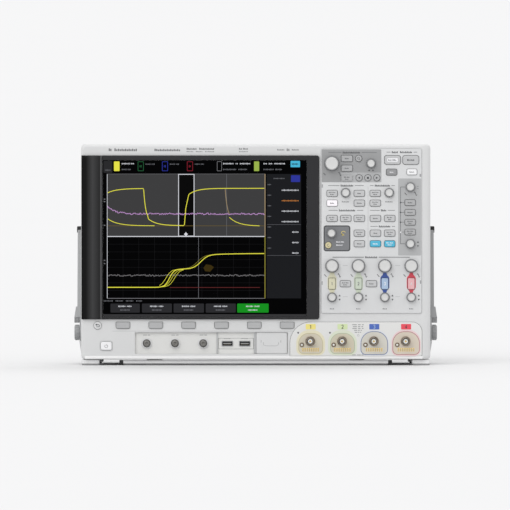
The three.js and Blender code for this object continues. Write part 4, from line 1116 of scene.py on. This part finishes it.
x, z = spot("back_key")
mark = key("back_key", circle(x, z, half_width("back_key"), 36), "shell", (1.2, 0.9))
mark.line("print", [(x - 0.8, z + 1.0), (x + 1.0, z + 1.0)] + arc(x + 1.0, z - 0.3, 1.3, 90, -90, 8)
          + [(x - 1.6, z - 1.6)], 0.75)
mark.poly("print", [(x - 2.9, z + 1.0), (x - 0.7, z - 0.5), (x - 0.7, z + 2.5)], 2)
mark.make()

x, z = spot("power_key")
mark = key("power_key", rounded(*rect("power_key"), 2.2, 6), "key_white", (1.3, 0.9), "power_key_plastic")
mark.line("print", arc(x, z - 0.2, 1.9, 125, 415, 22), 0.42)
mark.line("print", [(x, z + 0.1), (x, z + 2.3)], 0.42)
mark.make()

# Lines on the moulding: a printed ring round the power key, a painted shade line under the surround, and
# printed dashes over the screen.
face = Prints("face_print", FACE)
face.frame("print_soft", *rect("power_key", 1.25), 0.28, radius=3.0)
# The dark line under the surround is painted shade, standing in for a step in the face.
face.rect("print_soft", glass[0] + 12, surround[1], 42.45, 42.75)
for x0, x1, dz, height, parts, tone in (
        (-182.5, -147.0, 0.0, 3.4, (0.12, 0.88), "print"), (-125.7, -93.3, -0.2, 3.0, (1.0,), "print"),
        (-85.7, -51.3, 1.2, 2.3, (0.4, 0.6), "print"),
        (-85.7, -51.3, -2.2, 1.3, (0.3, 0.3, 0.4), "print_mid"),
        (-20.7, -9.5, 1.2, 2.0, (0.4, 0.6), "print"), (-20.7, -9.5, -2.2, 1.3, (1.0,), "print_mid"),
        (26.8, 36.0, 0.0, 1.6, (1.0,), "print"), (38.5, 42.5, 0.0, 3.0, (1.0,), "print_mid"),
        (45.0, 54.0, 0.0, 1.6, (1.0,), "print")):
    face.dashes(tone, x0, x1, surround[3] + 7.0 + dz, height, parts, 1, 2.2 if height > 2.5 else 1.6)
face.make()

# ---------------------------------------------------------------- coaxial inputs
PANEL = front_of("input_panel")
NUT = 6.2  # radius of a coaxial jack's nut
jacks = {c: spot(f"channel_{c}_input") for c in CHANNELS}
jack_holes = {c: circle(*jacks[c], NUT - 0.5, 28) for c in CHANNELS}
slab("input_panel_plate", inputs_outline(), PANEL, back_of("input_panel"), "panel",
     holes=list(jack_holes.values()), edge=0.9, hole_edge=0.3, slot="panel_plastic",
     replaces=("input_panel",))


def arch(x, z0, z1, half, top, low_radius):
    """A doorway shape: round shoulders above, small round corners below."""
    return rounded(x - half, x + half, z0, z1, (low_radius, low_radius, top, top), 12)


panel_ink = Prints("input_print", PANEL)
for c in CHANNELS:
    x, hole = jacks[c][0] + 0.6, [jack_holes[c]]
    half, base, crown, top = (15.3, 14.2, 40.3, 13.0) if c < 3 else (17.0, 13.2, 42.4, 15.0)
    glow, rim = 2.6 if c < 3 else 1.2, 0.8
    halo = arch(x, base - 1.6, crown + glow + 1.0, half + glow, top + glow, 8)
    panel_ink.poly(f"channel_{c}_halo", halo, 1, hole)
    panel_ink.poly(f"channel_{c}_line", arch(x, base, crown, half, top, 6.5), 2, hole)
    panel_ink.poly(f"channel_{c}_wash", arch(x, base + rim, crown - rim, half - rim, top - rim, 5.8), 3, hole)
    panel_ink.rect(f"channel_{c}", x - 6.2, x + 6.2, 44.7, 51.5, 3, 0.5)
    panel_ink.digit("channel_3_key" if c == 3 else "print", c, x, 48.1, 4.4, 0.8, 4)
    for i in range(8):
        contact = x - 9.6 + i * 2.7
        panel_ink.rect("gold", contact - 0.95, contact + 0.95, 17.3, 21.9, 4, 0.35)
        panel_ink.rect("print_soft", contact - 0.35, contact + 0.35, 18.2, 20.0, 5, 0.2)
    if c < 3:
        panel_ink.disc("print", x - 15.6, 40.6, 1.1, 3)
middle = (jacks[2][0] + jacks[3][0]) / 2
for half, z in ((7.2, 50.6), (6.4, 48.2), (7.0, 45.9), (4.8, 43.6), (4.0, 41.2)):
    panel_ink.bars("print_soft", middle - half, middle + half, z, 1.1, (0.5, 0.3, 0.2))
panel_ink.ring("print_soft", middle + 0.4, 37.4, 1.3, 0.35)
panel_ink.bars("print_soft", middle - 7.0, middle + 7.0, 13.1, 0.9, (0.4, 0.4, 0.2))
panel_ink.make()


def sided(profile, side, at=0.0):
    """A (radius, position) profile set off to one side of a place."""
    return [(radius, at + side * place) for radius, place in profile]


def add_lugs(bm, x, y, z, segments):
    """The two side lugs of a coaxial jack."""
    for side in SIDES:
        stud = fillet([(0, 4.7), (0.95, 4.7), (0.95, 5.5), (0, 5.7)], 0.3, 3)
        add_turned(bm, sided(stud, side, x), segments, (y, z), "X")


for c, at in jacks.items():
    node = f"channel_{c}_input"
    tip, collar = front_of(node), PANEL - 1.0
    nut = [(4.9, PANEL), (NUT, PANEL), (NUT, collar), (NUT - 0.4, collar - 0.5), (5.3, collar - 0.5),
           (4.9, collar - 0.1), (4.9, PANEL)]
    barrel = [(0, -46), (4.7, -46), (4.7, collar - 0.5), (4.85, collar - 0.7), (4.85, tip + 0.25), (4.6, tip),
              (4.3, tip), (4.1, tip + 0.3), (4.1, -68.2), (0, -68.2)]
    insulator = [(0, -68.1), (4.05, -68.1), (4.05, -69.4), (3.1, -69.6), (2.9, tip + 1.4), (1.3, tip + 1.3),
                 (1.3, -70), (0, -70)]
    pin = [(0, -69.8), (1.25, -69.8), (1.25, tip + 2.2), (0.95, tip + 2.0), (0.5, tip + 2.0),
           (0.45, tip + 3.2), (0, tip + 3.3)]
    turned(f"{node}_nut", fillet(nut, 0.2, 2), "nut", at=at, slot="input_metal")
    turned(f"{node}_barrel", fillet(barrel, 0.15, 2), "nut", at=at, slot="input_metal", replaces=(node,))
    turned(f"{node}_insulator", fillet(insulator, 0.2, 2), "ptfe", at=at)
    turned(f"{node}_pin", fillet(pin, 0.1, 2), "gold", at=at, slot="input_metal")
    bm = bmesh.new()
    add_lugs(bm, at[0], tip + 4.0, at[1], 16)
    finish(f"{node}_lugs", bm, "bronze", weighted=False, slot="input_metal")
    # The contact ring beside the jack, which tells the instrument what probe is plugged in.
    contact = (at[0] - 10.4, at[1] - 4.6)
    ring_profile = [(1.3, PANEL - 0.1), (2.9, PANEL - 0.1), (2.8, PANEL - 0.75), (1.5, PANEL - 0.75),
                    (1.3, PANEL - 0.1)]
    pad_profile = [(0, PANEL + 0.1), (1.35, PANEL + 0.1), (1.35, PANEL - 0.45), (0, PANEL - 0.5)]
    turned(f"{node}_probe_ring", fillet(ring_profile, 0.2, 2), "bronze", at=contact, segments=32,
           slot="input_metal")
    turned(f"{node}_probe_pad", fillet(pad_profile, 0.1, 2), "ptfe", at=contact, segments=24)

# ---------------------------------------------------------------- lower bay: terminals, ports, blanked socket
BAY_FRONT, BAY_BACK = front_of("connector_panel"), back_of("connector_panel")
STUD_BACK = -57.4
ports = rect("usb_ports")
studs = [((x0 + x1) / 2, (z0 + z1) / 2) for x0, x1, z0, z1 in islands("test_terminals")]
slab("bay_plate", rounded(*bay_plate, 1, 3), BAY_FRONT, BAY_BACK, "bay",
     holes=[circle(*at, 4.7, 28) for at in studs] + [rounded(*rect("usb_ports", 0.3), 0.8, 3)], edge=0.2,
     slot="panel_plastic", replaces=("connector_panel",))
stud_front = front_of("test_terminals")
collar = [(4.75, BAY_FRONT + 0.1), (6.9, BAY_FRONT + 0.1), (6.7, BAY_FRONT - 1.1), (5.0, BAY_FRONT - 1.3),
          (4.75, BAY_FRONT - 0.9), (4.75, BAY_FRONT + 0.1)]
stud = [(0, STUD_BACK), (4.25, STUD_BACK), (4.25, BAY_FRONT - 1.6), (3.1, BAY_FRONT - 1.9),
        (3.1, stud_front + 2.4), (4.0, stud_front + 2.0), (4.0, stud_front + 0.6), (3.2, stud_front),
        (1.4, stud_front), (1.2, stud_front + 0.8), (0, stud_front + 0.9)]
for i, at in enumerate(studs):
    turned(f"terminal_{i + 1}_collar", fillet(collar, 0.35, 3), "shell", at=at, slot="panel_plastic")
    turned(f"terminal_{i + 1}_stud", fillet(stud, 0.3, 3), "stud", at=at, slot="terminal_metal",
           replaces=() if i else ("test_terminals",))
slab("terminal_strip", rounded(-144, -57, 20.4, 34.4, 0.8, 3), BAY_BACK + 0.3, STUD_BACK, "black", edge=0.2,
     slot="black_plastic")

mouths = islands("usb_ports")
port_front, port_floor = front_of("usb_ports"), -50.2
port_z = (ports[2] + ports[3]) / 2
port_centres = [(min(box[0] for box in mouths) + 7.0, port_z), (max(box[1] for box in mouths) - 7.0, port_z)]
slab("port_plate", rounded(*ports, 0.9, 3), BAY_FRONT, BAY_BACK, "bay",
     holes=[around(*at, 7.0, 3.5, 0.7) for at in port_centres], edge=0.25, slot="panel_plastic",
     replaces=("usb_ports",))
shells, shade_liners, tongues, contacts = [bmesh.new() for _ in range(4)]
for x, z in port_centres:
    outer = around(x, z, 6.9, 3.4, 0.8, 4)
    add_slab(shells, outer, port_front, port_floor, [around(x, z, 6.3, 2.75, 0.5, 4)], edge=0.25,
             hole_edge=0.3)
    add_slab(shells, outer, port_floor, -46.2, edge=0)
    # Inside each shell a black lining and back wall: painted shade deep in the mouth.
    add_slab(shade_liners, around(x, z, 6.25, 2.7, 0.5, 4), port_front + 0.7, -50.4, [around(x, z, 5.7, 2.2, 0.3)],
             edge=0.1, hole_edge=0.1)
    add_slab(shade_liners, around(x, z, 6.0, 2.5, 0.4), -50.5, -50.1, edge=0)
    add_slab(tongues, around(x, z + 0.05, 5.2, 0.8, 0.3), port_front + 1.4, -50.3)
    for i in range(4):
        add_slab(contacts, around(x - 3.5 + i * 2.33, z - 0.835, 0.5, 0.115, 0.05, 2), port_front + 2.4, -51,
                 edge=0.05)
finish("port_shells", shells, "steel", slot="port_metal")
finish("port_liners_painted_shade", shade_liners, "black", slot="black_plastic")
finish("port_tongues", tongues, "foot")
finish("port_contacts", contacts, "gold", slot="port_metal")

blank_front = front_of("digital_input_blank")
slab("socket_blank", rounded(*rect("digital_input_blank", 0.35), 1.6, 4), blank_front,
     back_of("digital_input_blank"), "shell", edge=(0.7, 0.5), steps=5, slot="panel_plastic",
     replaces=("digital_input_blank",))
blank_ink = Prints("blank_print", blank_front)
x, z = spot("digital_input_blank")
x -= 1.0
for side in SIDES:
    tick = x + side * 12.2
    blank_ink.rect("print_soft", tick - 0.3, tick + 0.3, z + 0.6, z + 3.6, 1, 0.2)
    bow = [(x + side * u, z + v) for u, v in ((9.6, 1.2), (9.0, -2.2), (6.4, -3.4))]
    blank_ink.line("print_soft", bow, 0.45)
blank_ink.line("print_soft", [(x - 6.4, z - 3.4), (x + 6.4, z - 3.4)], 0.45)
blank_ink.make()

# Raised bands that frame the bay's three fields.
bands = bmesh.new()
for x0, x1 in ((ports[0] - 2.6, ports[0] - 0.9), (ports[1] + 0.5, rect("digital_input_blank")[0] - 0.5)):
    add_slab(bands, rounded(x0, x1, bay[2] + 0.3, bay[3] - 0.3, 0.5, 3), BAY_FRONT - 1.6, BAY_FRONT + 0.05,
             edge=0.5)
finish("bay_bands", bands, "band", slot="panel_plastic")
bay_ink = Prints("bay_print", BAY_FRONT)
for x, z in port_centres:
    bay_ink.line("print_soft", [(x - 3.4, z + 6.2), (x + 2.6, z + 6.2)], 0.3)
    bay_ink.disc("print_soft", x - 3.6, z + 6.2, 0.5)
    bay_ink.poly("print_soft", [(x + 2.6, z + 5.7), (x + 3.8, z + 6.2), (x + 2.6, z + 6.7)])
for x, z in studs:
    bay_ink.bars("print_soft", x - 4.5, x + 4.5, z + 10.2, 0.9, (0.6, 0.4))
bay_ink.make()

# ---------------------------------------------------------------- rear case
REAR = 60.0  # depth of the rear wall's outside
HALF = 215.0  # half the rear case's width
REAR_BASE = 8.5  # height of its underside
inlet_x, inlet_z = spot("ac_inlet")
fan_x, fan_z = spot("fan_rotor")
rear = moulding("rear_shell", rounded(-HALF, HALF, REAR_BASE, high("rear_case").z, 4.0, 6),
                [rounded(-60, 40, 30, 72, 1.5, 3), around(inlet_x, inlet_z, 14, 10.5, 1.5)], REAR,
                REAR - WALL, front_of("rear_case"), "shell_rear", 2.6, 0.3, direction=-1,
                slot="case_plastic", replaces=("rear_case",))
cutters = bmesh.new()
for i in range(11):
    for side in SIDES:
        add_slab(cutters, around(-14.5 + i * 6, 220, 1.5, 25, 1.47, 4), *span(side, HALF - 4.5, HALF + 2),
                 edge=0, matrix=FACING_SIDE)
for i in range(-4, 5):
    reach = math.sqrt(36 ** 2 - (i * 8) ** 2)
    add_slab(cutters, around(fan_x + i * 8, fan_z, 2.4, reach, 2.3, 4), REAR - 5, REAR + 2, edge=0)
carve(rear, cutters)

# A shield of dark gauze behind each side's slots.
gauze = bmesh.new()
for side in SIDES:
    add_slab(gauze, rounded(-20, 49, 191, 249, 2.0, 3), *span(side, HALF - 5.4, HALF - 4.6), edge=0.1,
             matrix=FACING_SIDE)
finish("side_vent_gauze", gauze, "black", slot="case_plastic")


def add_foot(bm, outline, top, bottom, edge):
    """Part of a foot: an outline in X and Y between two heights, with its lower edge rounded off."""
    add_slab(bm, outline, -top, -bottom, edge=edge, back_edge=0.5, matrix=FACING_DOWN)


feet, soles = bmesh.new(), bmesh.new()
for side in SIDES:
    add_foot(feet, rounded(*span(side, 190, 212), 30, 56, 3.0, 5), REAR_BASE + 0.5, 1.8, 0.2)
    add_foot(soles, rounded(*span(side, 192, 210), 32, 54, 3.0, 5), 1.9, 0.0, 0.1)
finish("rear_feet", feet, "shell_rear", slot="case_plastic")
finish("rear_foot_pads", soles, "foot", slot="foot_rubber")

# Side flares that carry the handle, and the lugs of the tilt stand.
lower = bmesh.new()
for side in SIDES:
    flare = [(side * x, z) for x, z in ((213, 9.5), (216.5, 9.5), (219.6, 29), (213, 29))]
    add_slab(lower, flare[::side], -26, -8, edge=0.6, back_edge=0.6)
    for near, far in ((116.5, 119.2), (132.8, 135.5)):
        add_slab(lower, rounded(-1.2, 5.2, 1.6, 9.5, (2.6, 2.6, 0.4, 0.4), 5), *span(side, near, far),
                 [circle(2, 4.4, 1.5, 16)], edge=0.25, hole_edge=0.1, matrix=FACING_SIDE)
finish("rear_case_lugs", lower, "shell_rear", slot="case_plastic")

# Fixing screws, a blank rating plate and its rows of dashes on the back.
screws, slots = bmesh.new(), bmesh.new()
screw_spots = [(-203, 20), (203, 20), (-203, 260), (203, 260), (0, 262), (-203, 140), (203, 140)]
screw_spots += [(fan_x + u, fan_z + v) for v in (-36, 36) for u in (-36, 36)]
for x, z in screw_spots:
    add_turned(screws, [(0, REAR + 1.5), (1.8, REAR + 1.45), (3.0, REAR + 1.0), (3.4, REAR + 0.3),
                        (3.4, REAR - 0.4), (0, REAR - 0.4)], 28, (x, z))
    # Black crosses on each screw head: painted shade in place of the recessed slots.
    for w, h in ((1.9, 0.32), (0.32, 1.9)):
        add_slab(slots, square(x - w, x + w, z - h, z + h), REAR + 1.3, REAR + 1.54, edge=0)
finish("rear_screws", screws, "steel", weighted=False, slot="sheet_steel")
finish("rear_screw_slots_painted_shade", slots, "black", weighted=False)
slab("rating_plate", rounded(70, 190, 118, 186, 2.0, 4), -REAR - 0.5, -REAR + 0.2, "label", edge=0.2,
     matrix=FACING_BACK)
lines = bmesh.new()
random.seed(21)
for k in range(6):
    z, x = 176 - k * 8.6, 80.0
    while x < 172 - 10 * (k % 3):
        w = random.uniform(6, 15)
        add_slab(lines, square(-x - w, -x, z, z + 2.4), REAR + 0.45, REAR + 0.56, edge=0)
        x += w + 2.6
finish("rating_plate_lines", lines, "print_soft", weighted=False)

# ---------------------------------------------------------------- rear connectors and mains inlet
slab("rear_plate", rounded(-43, 63, 27, 75, 2, 3), -56.7, -55, "sheet", edge=0.2, matrix=FACING_BACK,
     slot="sheet_steel", replaces=("rear_connectors",))


def add_rear_box(bm, x, z, w, h, y0, y1, mouth=None, radius=0.8, edge=0.25):
    """A connector housing that faces +Y, with an optional mouth (width, height, depth)."""
    outline = around(-x, z, w / 2, h / 2, radius)
    if mouth:
        mouth_w, mouth_h, depth = mouth
        hole = around(-x, z, mouth_w / 2, mouth_h / 2, min(radius, 0.6))
        add_slab(bm, outline, -y1, depth - y1, [hole], edge, matrix=FACING_BACK)
        y1, edge = y1 - depth, 0
    add_slab(bm, outline, -y1, -y0, edge=edge, matrix=FACING_BACK)


metal, dark, gold, white = [bmesh.new() for _ in range(4)]
add_rear_box(metal, -40, 50, 16, 14, 40, 60.5, (11.7, 8.4, 12))
add_rear_box(metal, -16, 50, 12, 12, 44, 60.5, (8.4, 7.6, 9))
add_rear_box(dark, -16, 50, 5.6, 3.2, 52, 59.0)
add_rear_box(dark, 8, 50, 18, 9, 48, 59.6)
add_rear_box(metal, 8, 50, 17.2, 8.4, 56, 61.4, (15.6, 6.8, 1.6), radius=2.4)
for i in range(8):
    add_rear_box(gold, -43.9 + i * 1.11, 54.2, 0.5, 0.9, 50, 59.4, radius=0.1, edge=0.05)
for row in (-1, 0, 1):
    for i in range(5):
        add_rear_box(gold, 3.4 + i * 2.3, 50 + row * 1.9, 0.5, 0.5, 59.5, 59.75, radius=0.1, edge=0.05)
for x, z in ((29, 60), (29, 41)):
    nut = [(4.9, 56.6), (6.9, 56.6), (6.9, 59.0), (4.9, 59.2), (4.9, 56.6)]
    barrel = [(0, 50), (4.8, 50), (4.85, 66.7), (4.6, 67), (4.3, 67), (4.1, 66.7), (4.1, 59.4), (0, 59.4)]
    insulator = [(0, 59.3), (4.05, 59.3), (4.05, 60.4), (2.5, 60.6), (2.3, 65.2), (1.2, 65.2), (1.2, 61),
                 (0, 61)]
    pin = [(0, 60.8), (1.15, 60.8), (1.1, 64.6), (0.5, 64.6), (0.45, 63), (0, 63)]
    add_turned(metal, fillet(nut, 0.3, 2), 6, (x, z))
    add_turned(metal, barrel, 40, (x, z))
    add_turned(white, fillet(insulator, 0.15, 2), 32, (x, z))
    add_turned(gold, fillet(pin, 0.1, 2), 20, (x, z))
    add_lugs(metal, x, 63.2, z, 14)
finish("rear_sockets_metal", metal, "steel", slot="port_metal")
finish("rear_sockets_dark", dark, "black", slot="black_plastic")
finish("rear_sockets_contacts", gold, "gold", slot="port_metal")
finish("rear_sockets_insulators", white, "ptfe")
lines = bmesh.new()
for x, w in ((-40, 12), (-16, 9), (8, 14), (29, 7)):
    add_slab(lines, square(x - w / 2, x + w / 2, 68.6, 69.8), 56.6, 56.76, edge=0)
finish("rear_plate_lines", lines, "print", weighted=False)

keyed = ((11.5, -4.5), (11.5, 8), (-11.5, 8), (-11.5, -4.5), (-8.5, -8), (8.5, -8))
mouth = [(-inlet_x + u, inlet_z + v) for u, v in keyed]
flange = around(-inlet_x, inlet_z, 25, 13, 3.0, 5)
housing = around(-inlet_x, inlet_z, 13.4, 9.9, 1.0)
inlet = bmesh.new()
add_slab(inlet, flange, -62.8, -60.3, [mouth], edge=0.7, hole_edge=0.4, matrix=FACING_BACK)
add_slab(inlet, housing, -60.3, -44, [mouth], edge=0, hole_edge=0, matrix=FACING_BACK)
add_slab(inlet, housing, -44, -38, edge=0, matrix=FACING_BACK)
finish("mains_inlet_body", inlet, "black", slot="black_plastic", replaces=("ac_inlet",))
blades = bmesh.new()
for x, z in ((inlet_x - 7, inlet_z - 1.6), (inlet_x + 7, inlet_z - 1.6), (inlet_x, inlet_z + 2.4)):
    add_slab(blades, around(-x, z, 1.0, 2.1, 0.3), -59.5, -43.9, edge=0.35, matrix=FACING_BACK)
for side in SIDES:
    add_turned(blades, [(0, 63.6), (1.6, 63.5), (2.6, 63.0), (2.8, 62.7), (2.8, 62.2), (0, 62.2)], 24,
               (inlet_x + side * 20, inlet_z))
finish("mains_inlet_blades", blades, "steel", slot="port_metal")

# ---------------------------------------------------------------- fan
BLADES = 7
HUB = 16.0  # radius of the rotor's hub
rotor = bmesh.new()
fan_front, fan_rear = front_of("fan_rotor"), back_of("fan_rotor")
add_turned(rotor, fillet([(0, fan_front + 0.6), (HUB - 1, fan_front + 0.6), (HUB, fan_front + 2),
                          (HUB, fan_rear), (0, fan_rear)], 0.8, 3), 56, (fan_x, fan_z))
for blade in range(BLADES):
    rings = []
    for share in [i / 8 for i in range(9)]:
        radius = HUB - 0.6 + (half_width("fan_rotor") - HUB) * share
        turn = 2 * math.pi * blade / BLADES + 0.30 * share ** 1.5
        section = []
        for t in [k / 6 - 0.5 for k in range(7)]:
            angle = turn + t * 0.62 * (1 - 0.1 * share)
            y = (fan_front + fan_rear) / 2 + t * (fan_rear - fan_front - 4.5) - 1.6 * (1 - (2 * t) ** 2)
            section.append((fan_x + radius * math.cos(angle), y, fan_z + radius * math.sin(angle)))
        section += [(x, y + 1.1, z) for x, y, z in section[::-1]]
        rings.append([rotor.verts.new(point) for point in section])
    strips(rotor, rings)
    for end in (rings[0], rings[-1]):
        skin(rotor, [end[:7], end[:6:-1]])
finish("fan_rotor_blades", rotor, "black", "fan", slot="black_plastic", replaces=("fan_rotor",))

# ---------------------------------------------------------------- carrying handle
PIVOT = (10.0, 39.0)
grip = tuple((low("handle_grip") + high("handle_grip")) / 2)[1:]
arm_length = math.dist(grip, PIVOT)
tilt = math.atan2(grip[1] - PIVOT[1], grip[0] - PIVOT[0])
along, across = (0, math.cos(tilt), math.sin(tilt)), (0, -math.sin(tilt), math.cos(tilt))
eye = soften(arc(0, 0, 12.0, 42, 318, 28) + [(15, -8), (22, -8), (22, 8), (15, 8)], 0.8, 2)
neck, taper, end = 16.0, arm_length - 16, arm_length - 7
arm = ([(neck, -6.5), (taper, -6.5), (end, -4.0)] + arc(arm_length, 0, 3.6, -70, 70, 12)
       + [(end, 4.0), (taper, 6.5), (neck, 6.5)])
wedge = soften([(217.6, 16.6), (226.2, 16.6), (226.2, 17.4), (224.1, 31.9), (217.6, 31.9)], 0.5, 3)
arms, caps = bmesh.new(), bmesh.new()
for side in SIDES:
    # Local X runs along the arm, Z across it, and -Y outwards.
    on_arm = axes(along, (-side, 0, 0), across, (0, *PIVOT))
    add_slab(arms, eye, -219.5, -217.5, [circle(0, 0, 6.4, 32)], edge=0.5, hole_edge=0.3, back_edge=0.3,
             matrix=on_arm)
    add_slab(arms, arm, -222.5, -217.5, edge=0.9, back_edge=0.5, matrix=on_arm)
    add_slab(arms, wedge, -8.5, 8.5, edge=0.7, back_edge=0.7,
             matrix=axes((side, 0, 0), across, along, (0, *PIVOT)))
    end_cap = [(0, 217.2), (4.2, 217.2), (4.2, 222.7), (3.4, 223.4), (0, 223.5)]
    add_turned(caps, sided(fillet(end_cap, 0.5, 3), side), 32, grip, "X")
finish("handle_arms", arms, "arm", "carry_handle", slot="handle_metal", replaces=("handle",))
turned("handle_bar", fillet([(0, -217.6), (5.0, -217.6), (5.0, 217.6), (0, 217.6)], 0.3, 2), "arm",
       "carry_handle", grip, "X", 24, "handle_metal")
finish("handle_end_caps", caps, "rubber", "carry_handle", slot="grip_rubber")
sleeve = [(5.3, -217.0), (7.2, -217.0), (7.9, -216.4)]
rib = ((7.96, -2.3), (7.96, 2.0), (7.35, 2.35), (7.35, 2.95))
for i in range(-30, 31):
    sleeve += [(radius, i * 5.6 + place) for radius, place in rib]
sleeve += [(7.9, 216.4), (7.2, 217.0), (5.3, 217.0), (5.3, -217.0)]
turned("handle_grip_sleeve", sleeve, "rubber", "carry_handle", grip, "X", 40, "grip_rubber", ("handle_grip",))

for label, side in (("left", -1), ("right", 1)):
    profile = [(0, 215.4), (5.9, 215.4), (5.9, 219.6), (9.6, 219.8), (9.75, 220.4), (9.75, 224.6),
               (9.1, 225.4), (7.6, 226.0), (5.4, 226.0), (4.8, 225.2), (4.6, 224.0), (0, 223.9)]
    hub = bmesh.new()
    add_turned(hub, sided(fillet(profile, 0.3, 2), side), 60, PIVOT, "X")
    flute(hub, PIVOT, 0, span(side, 220.0, 225.1), 8.8, 12, 0.5, 3)
    finish(f"hub_cap_{label}", hub, "hub", weighted=False, slot="hub_plastic",
           replaces=(f"handle_hub_{label}",))
    bolt = fillet([(0, 223.8), (4.0, 223.8), (3.6, 224.6), (1.7, 224.7), (1.4, 224.3), (0, 224.3)], 0.15, 2)
    turned(f"hub_bolt_{label}", sided(bolt, side), "black", "case", PIVOT, "X", 6, "hub_plastic")

# ---------------------------------------------------------------- tilt stand and feet
TIP = 164.6  # where the bar ends and its tips begin
STAND_PIVOT = (2.0, 4.4)


def add_bar(bm, points, radius, steps, x0, x1, edge):
    """A bar that runs along X, from its section in Y and Z."""
    add_slab(bm, soften(points, radius, steps), x0, x1, edge=edge, back_edge=edge, matrix=FACING_SIDE)


stand, strip, pins, tips = [bmesh.new() for _ in range(4)]
add_bar(stand, [(-59, 2.4), (-51, 2.4), (-51, 6.4), (-58.3, 6.4), (-59, 5.6)], 0.6, 4, -TIP, TIP, 0.2)
add_bar(strip, square(-58.3, -51.6, 0.9, 2.8), 0.5, 3, -TIP + 0.4, TIP - 0.4, 0.2)
for side in SIDES:
    leg = [(-51.6, 2.2), (-2, 2.0), (1.0, 1.9), (3.6, 2.4), (4.6, 4.4), (3.6, 6.4), (1, 6.9), (-2, 6.0),
           (-51.6, 5.9)]
    add_bar(stand, leg, 0.8, 3, *span(side, 120.2, 131.8), 0.6)
    add_bar(tips, square(-59, -51, 0.8, 6.4), 1.3, 4, *span(side, TIP - 0.1, 169.4), 0.8)
    pin = [(0, 116.8), (1.05, 116.8), (1.05, 135.2), (0, 135.2)]
    add_turned(pins, sided(pin, side), 20, STAND_PIVOT, "X")
finish("tilt_stand_strip", strip, "foot", "stand", slot="foot_rubber")
finish("tilt_stand_frame", stand, "stand", "stand", slot="stand_plastic", replaces=("tilt_stand",))
finish("tilt_stand_pins", pins, "steel", "stand", weighted=False, slot="stand_plastic")
finish("tilt_stand_tips", tips, "rubber", "stand", slot="foot_rubber")

for node in ("front_foot_left", "front_foot_right"):
    (x0, y0, _), (x1, y1, top) = low(node), high(node)
    foot, sole = bmesh.new(), bmesh.new()
    add_foot(foot, rounded(x0, x1, y0, y1, 3.0, 5), top, 2.1, 0.4)
    add_foot(sole, rounded(x0 + 0.6, x1 - 0.5, y0 + 0.5, y1 - 0.6, 2.6, 5), 2.2, 0.0, 0.1)
    finish(f"{node}_body", foot, "stand", slot="foot_rubber", replaces=(node,))
    finish(f"{node}_pad", sole, "foot", slot="foot_rubber")

# ---------------------------------------------------------------- inner nodes keep their own shape
INNER = {
    "lcd_module": "black", "keyboard_board": "board", "chassis": "sheet", "acquisition_board": "board",
    "power_supply": "sheet", "fan_frame": "black",
}
for node, mat in INNER.items():
    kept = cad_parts[node]
    kept.data.materials.clear()
    kept.data.materials.append(MATS[mat])
    weld = kept.modifiers.new("weld", "WELD")
    weld.merge_threshold = 0.00002
    bevel = kept.modifiers.new("edges", "BEVEL")
    bevel.width = 0.0003
    bevel.segments = 2
    bevel.limit_method = "ANGLE"
    kept.modifiers.new("even_normals", "WEIGHTED_NORMAL")
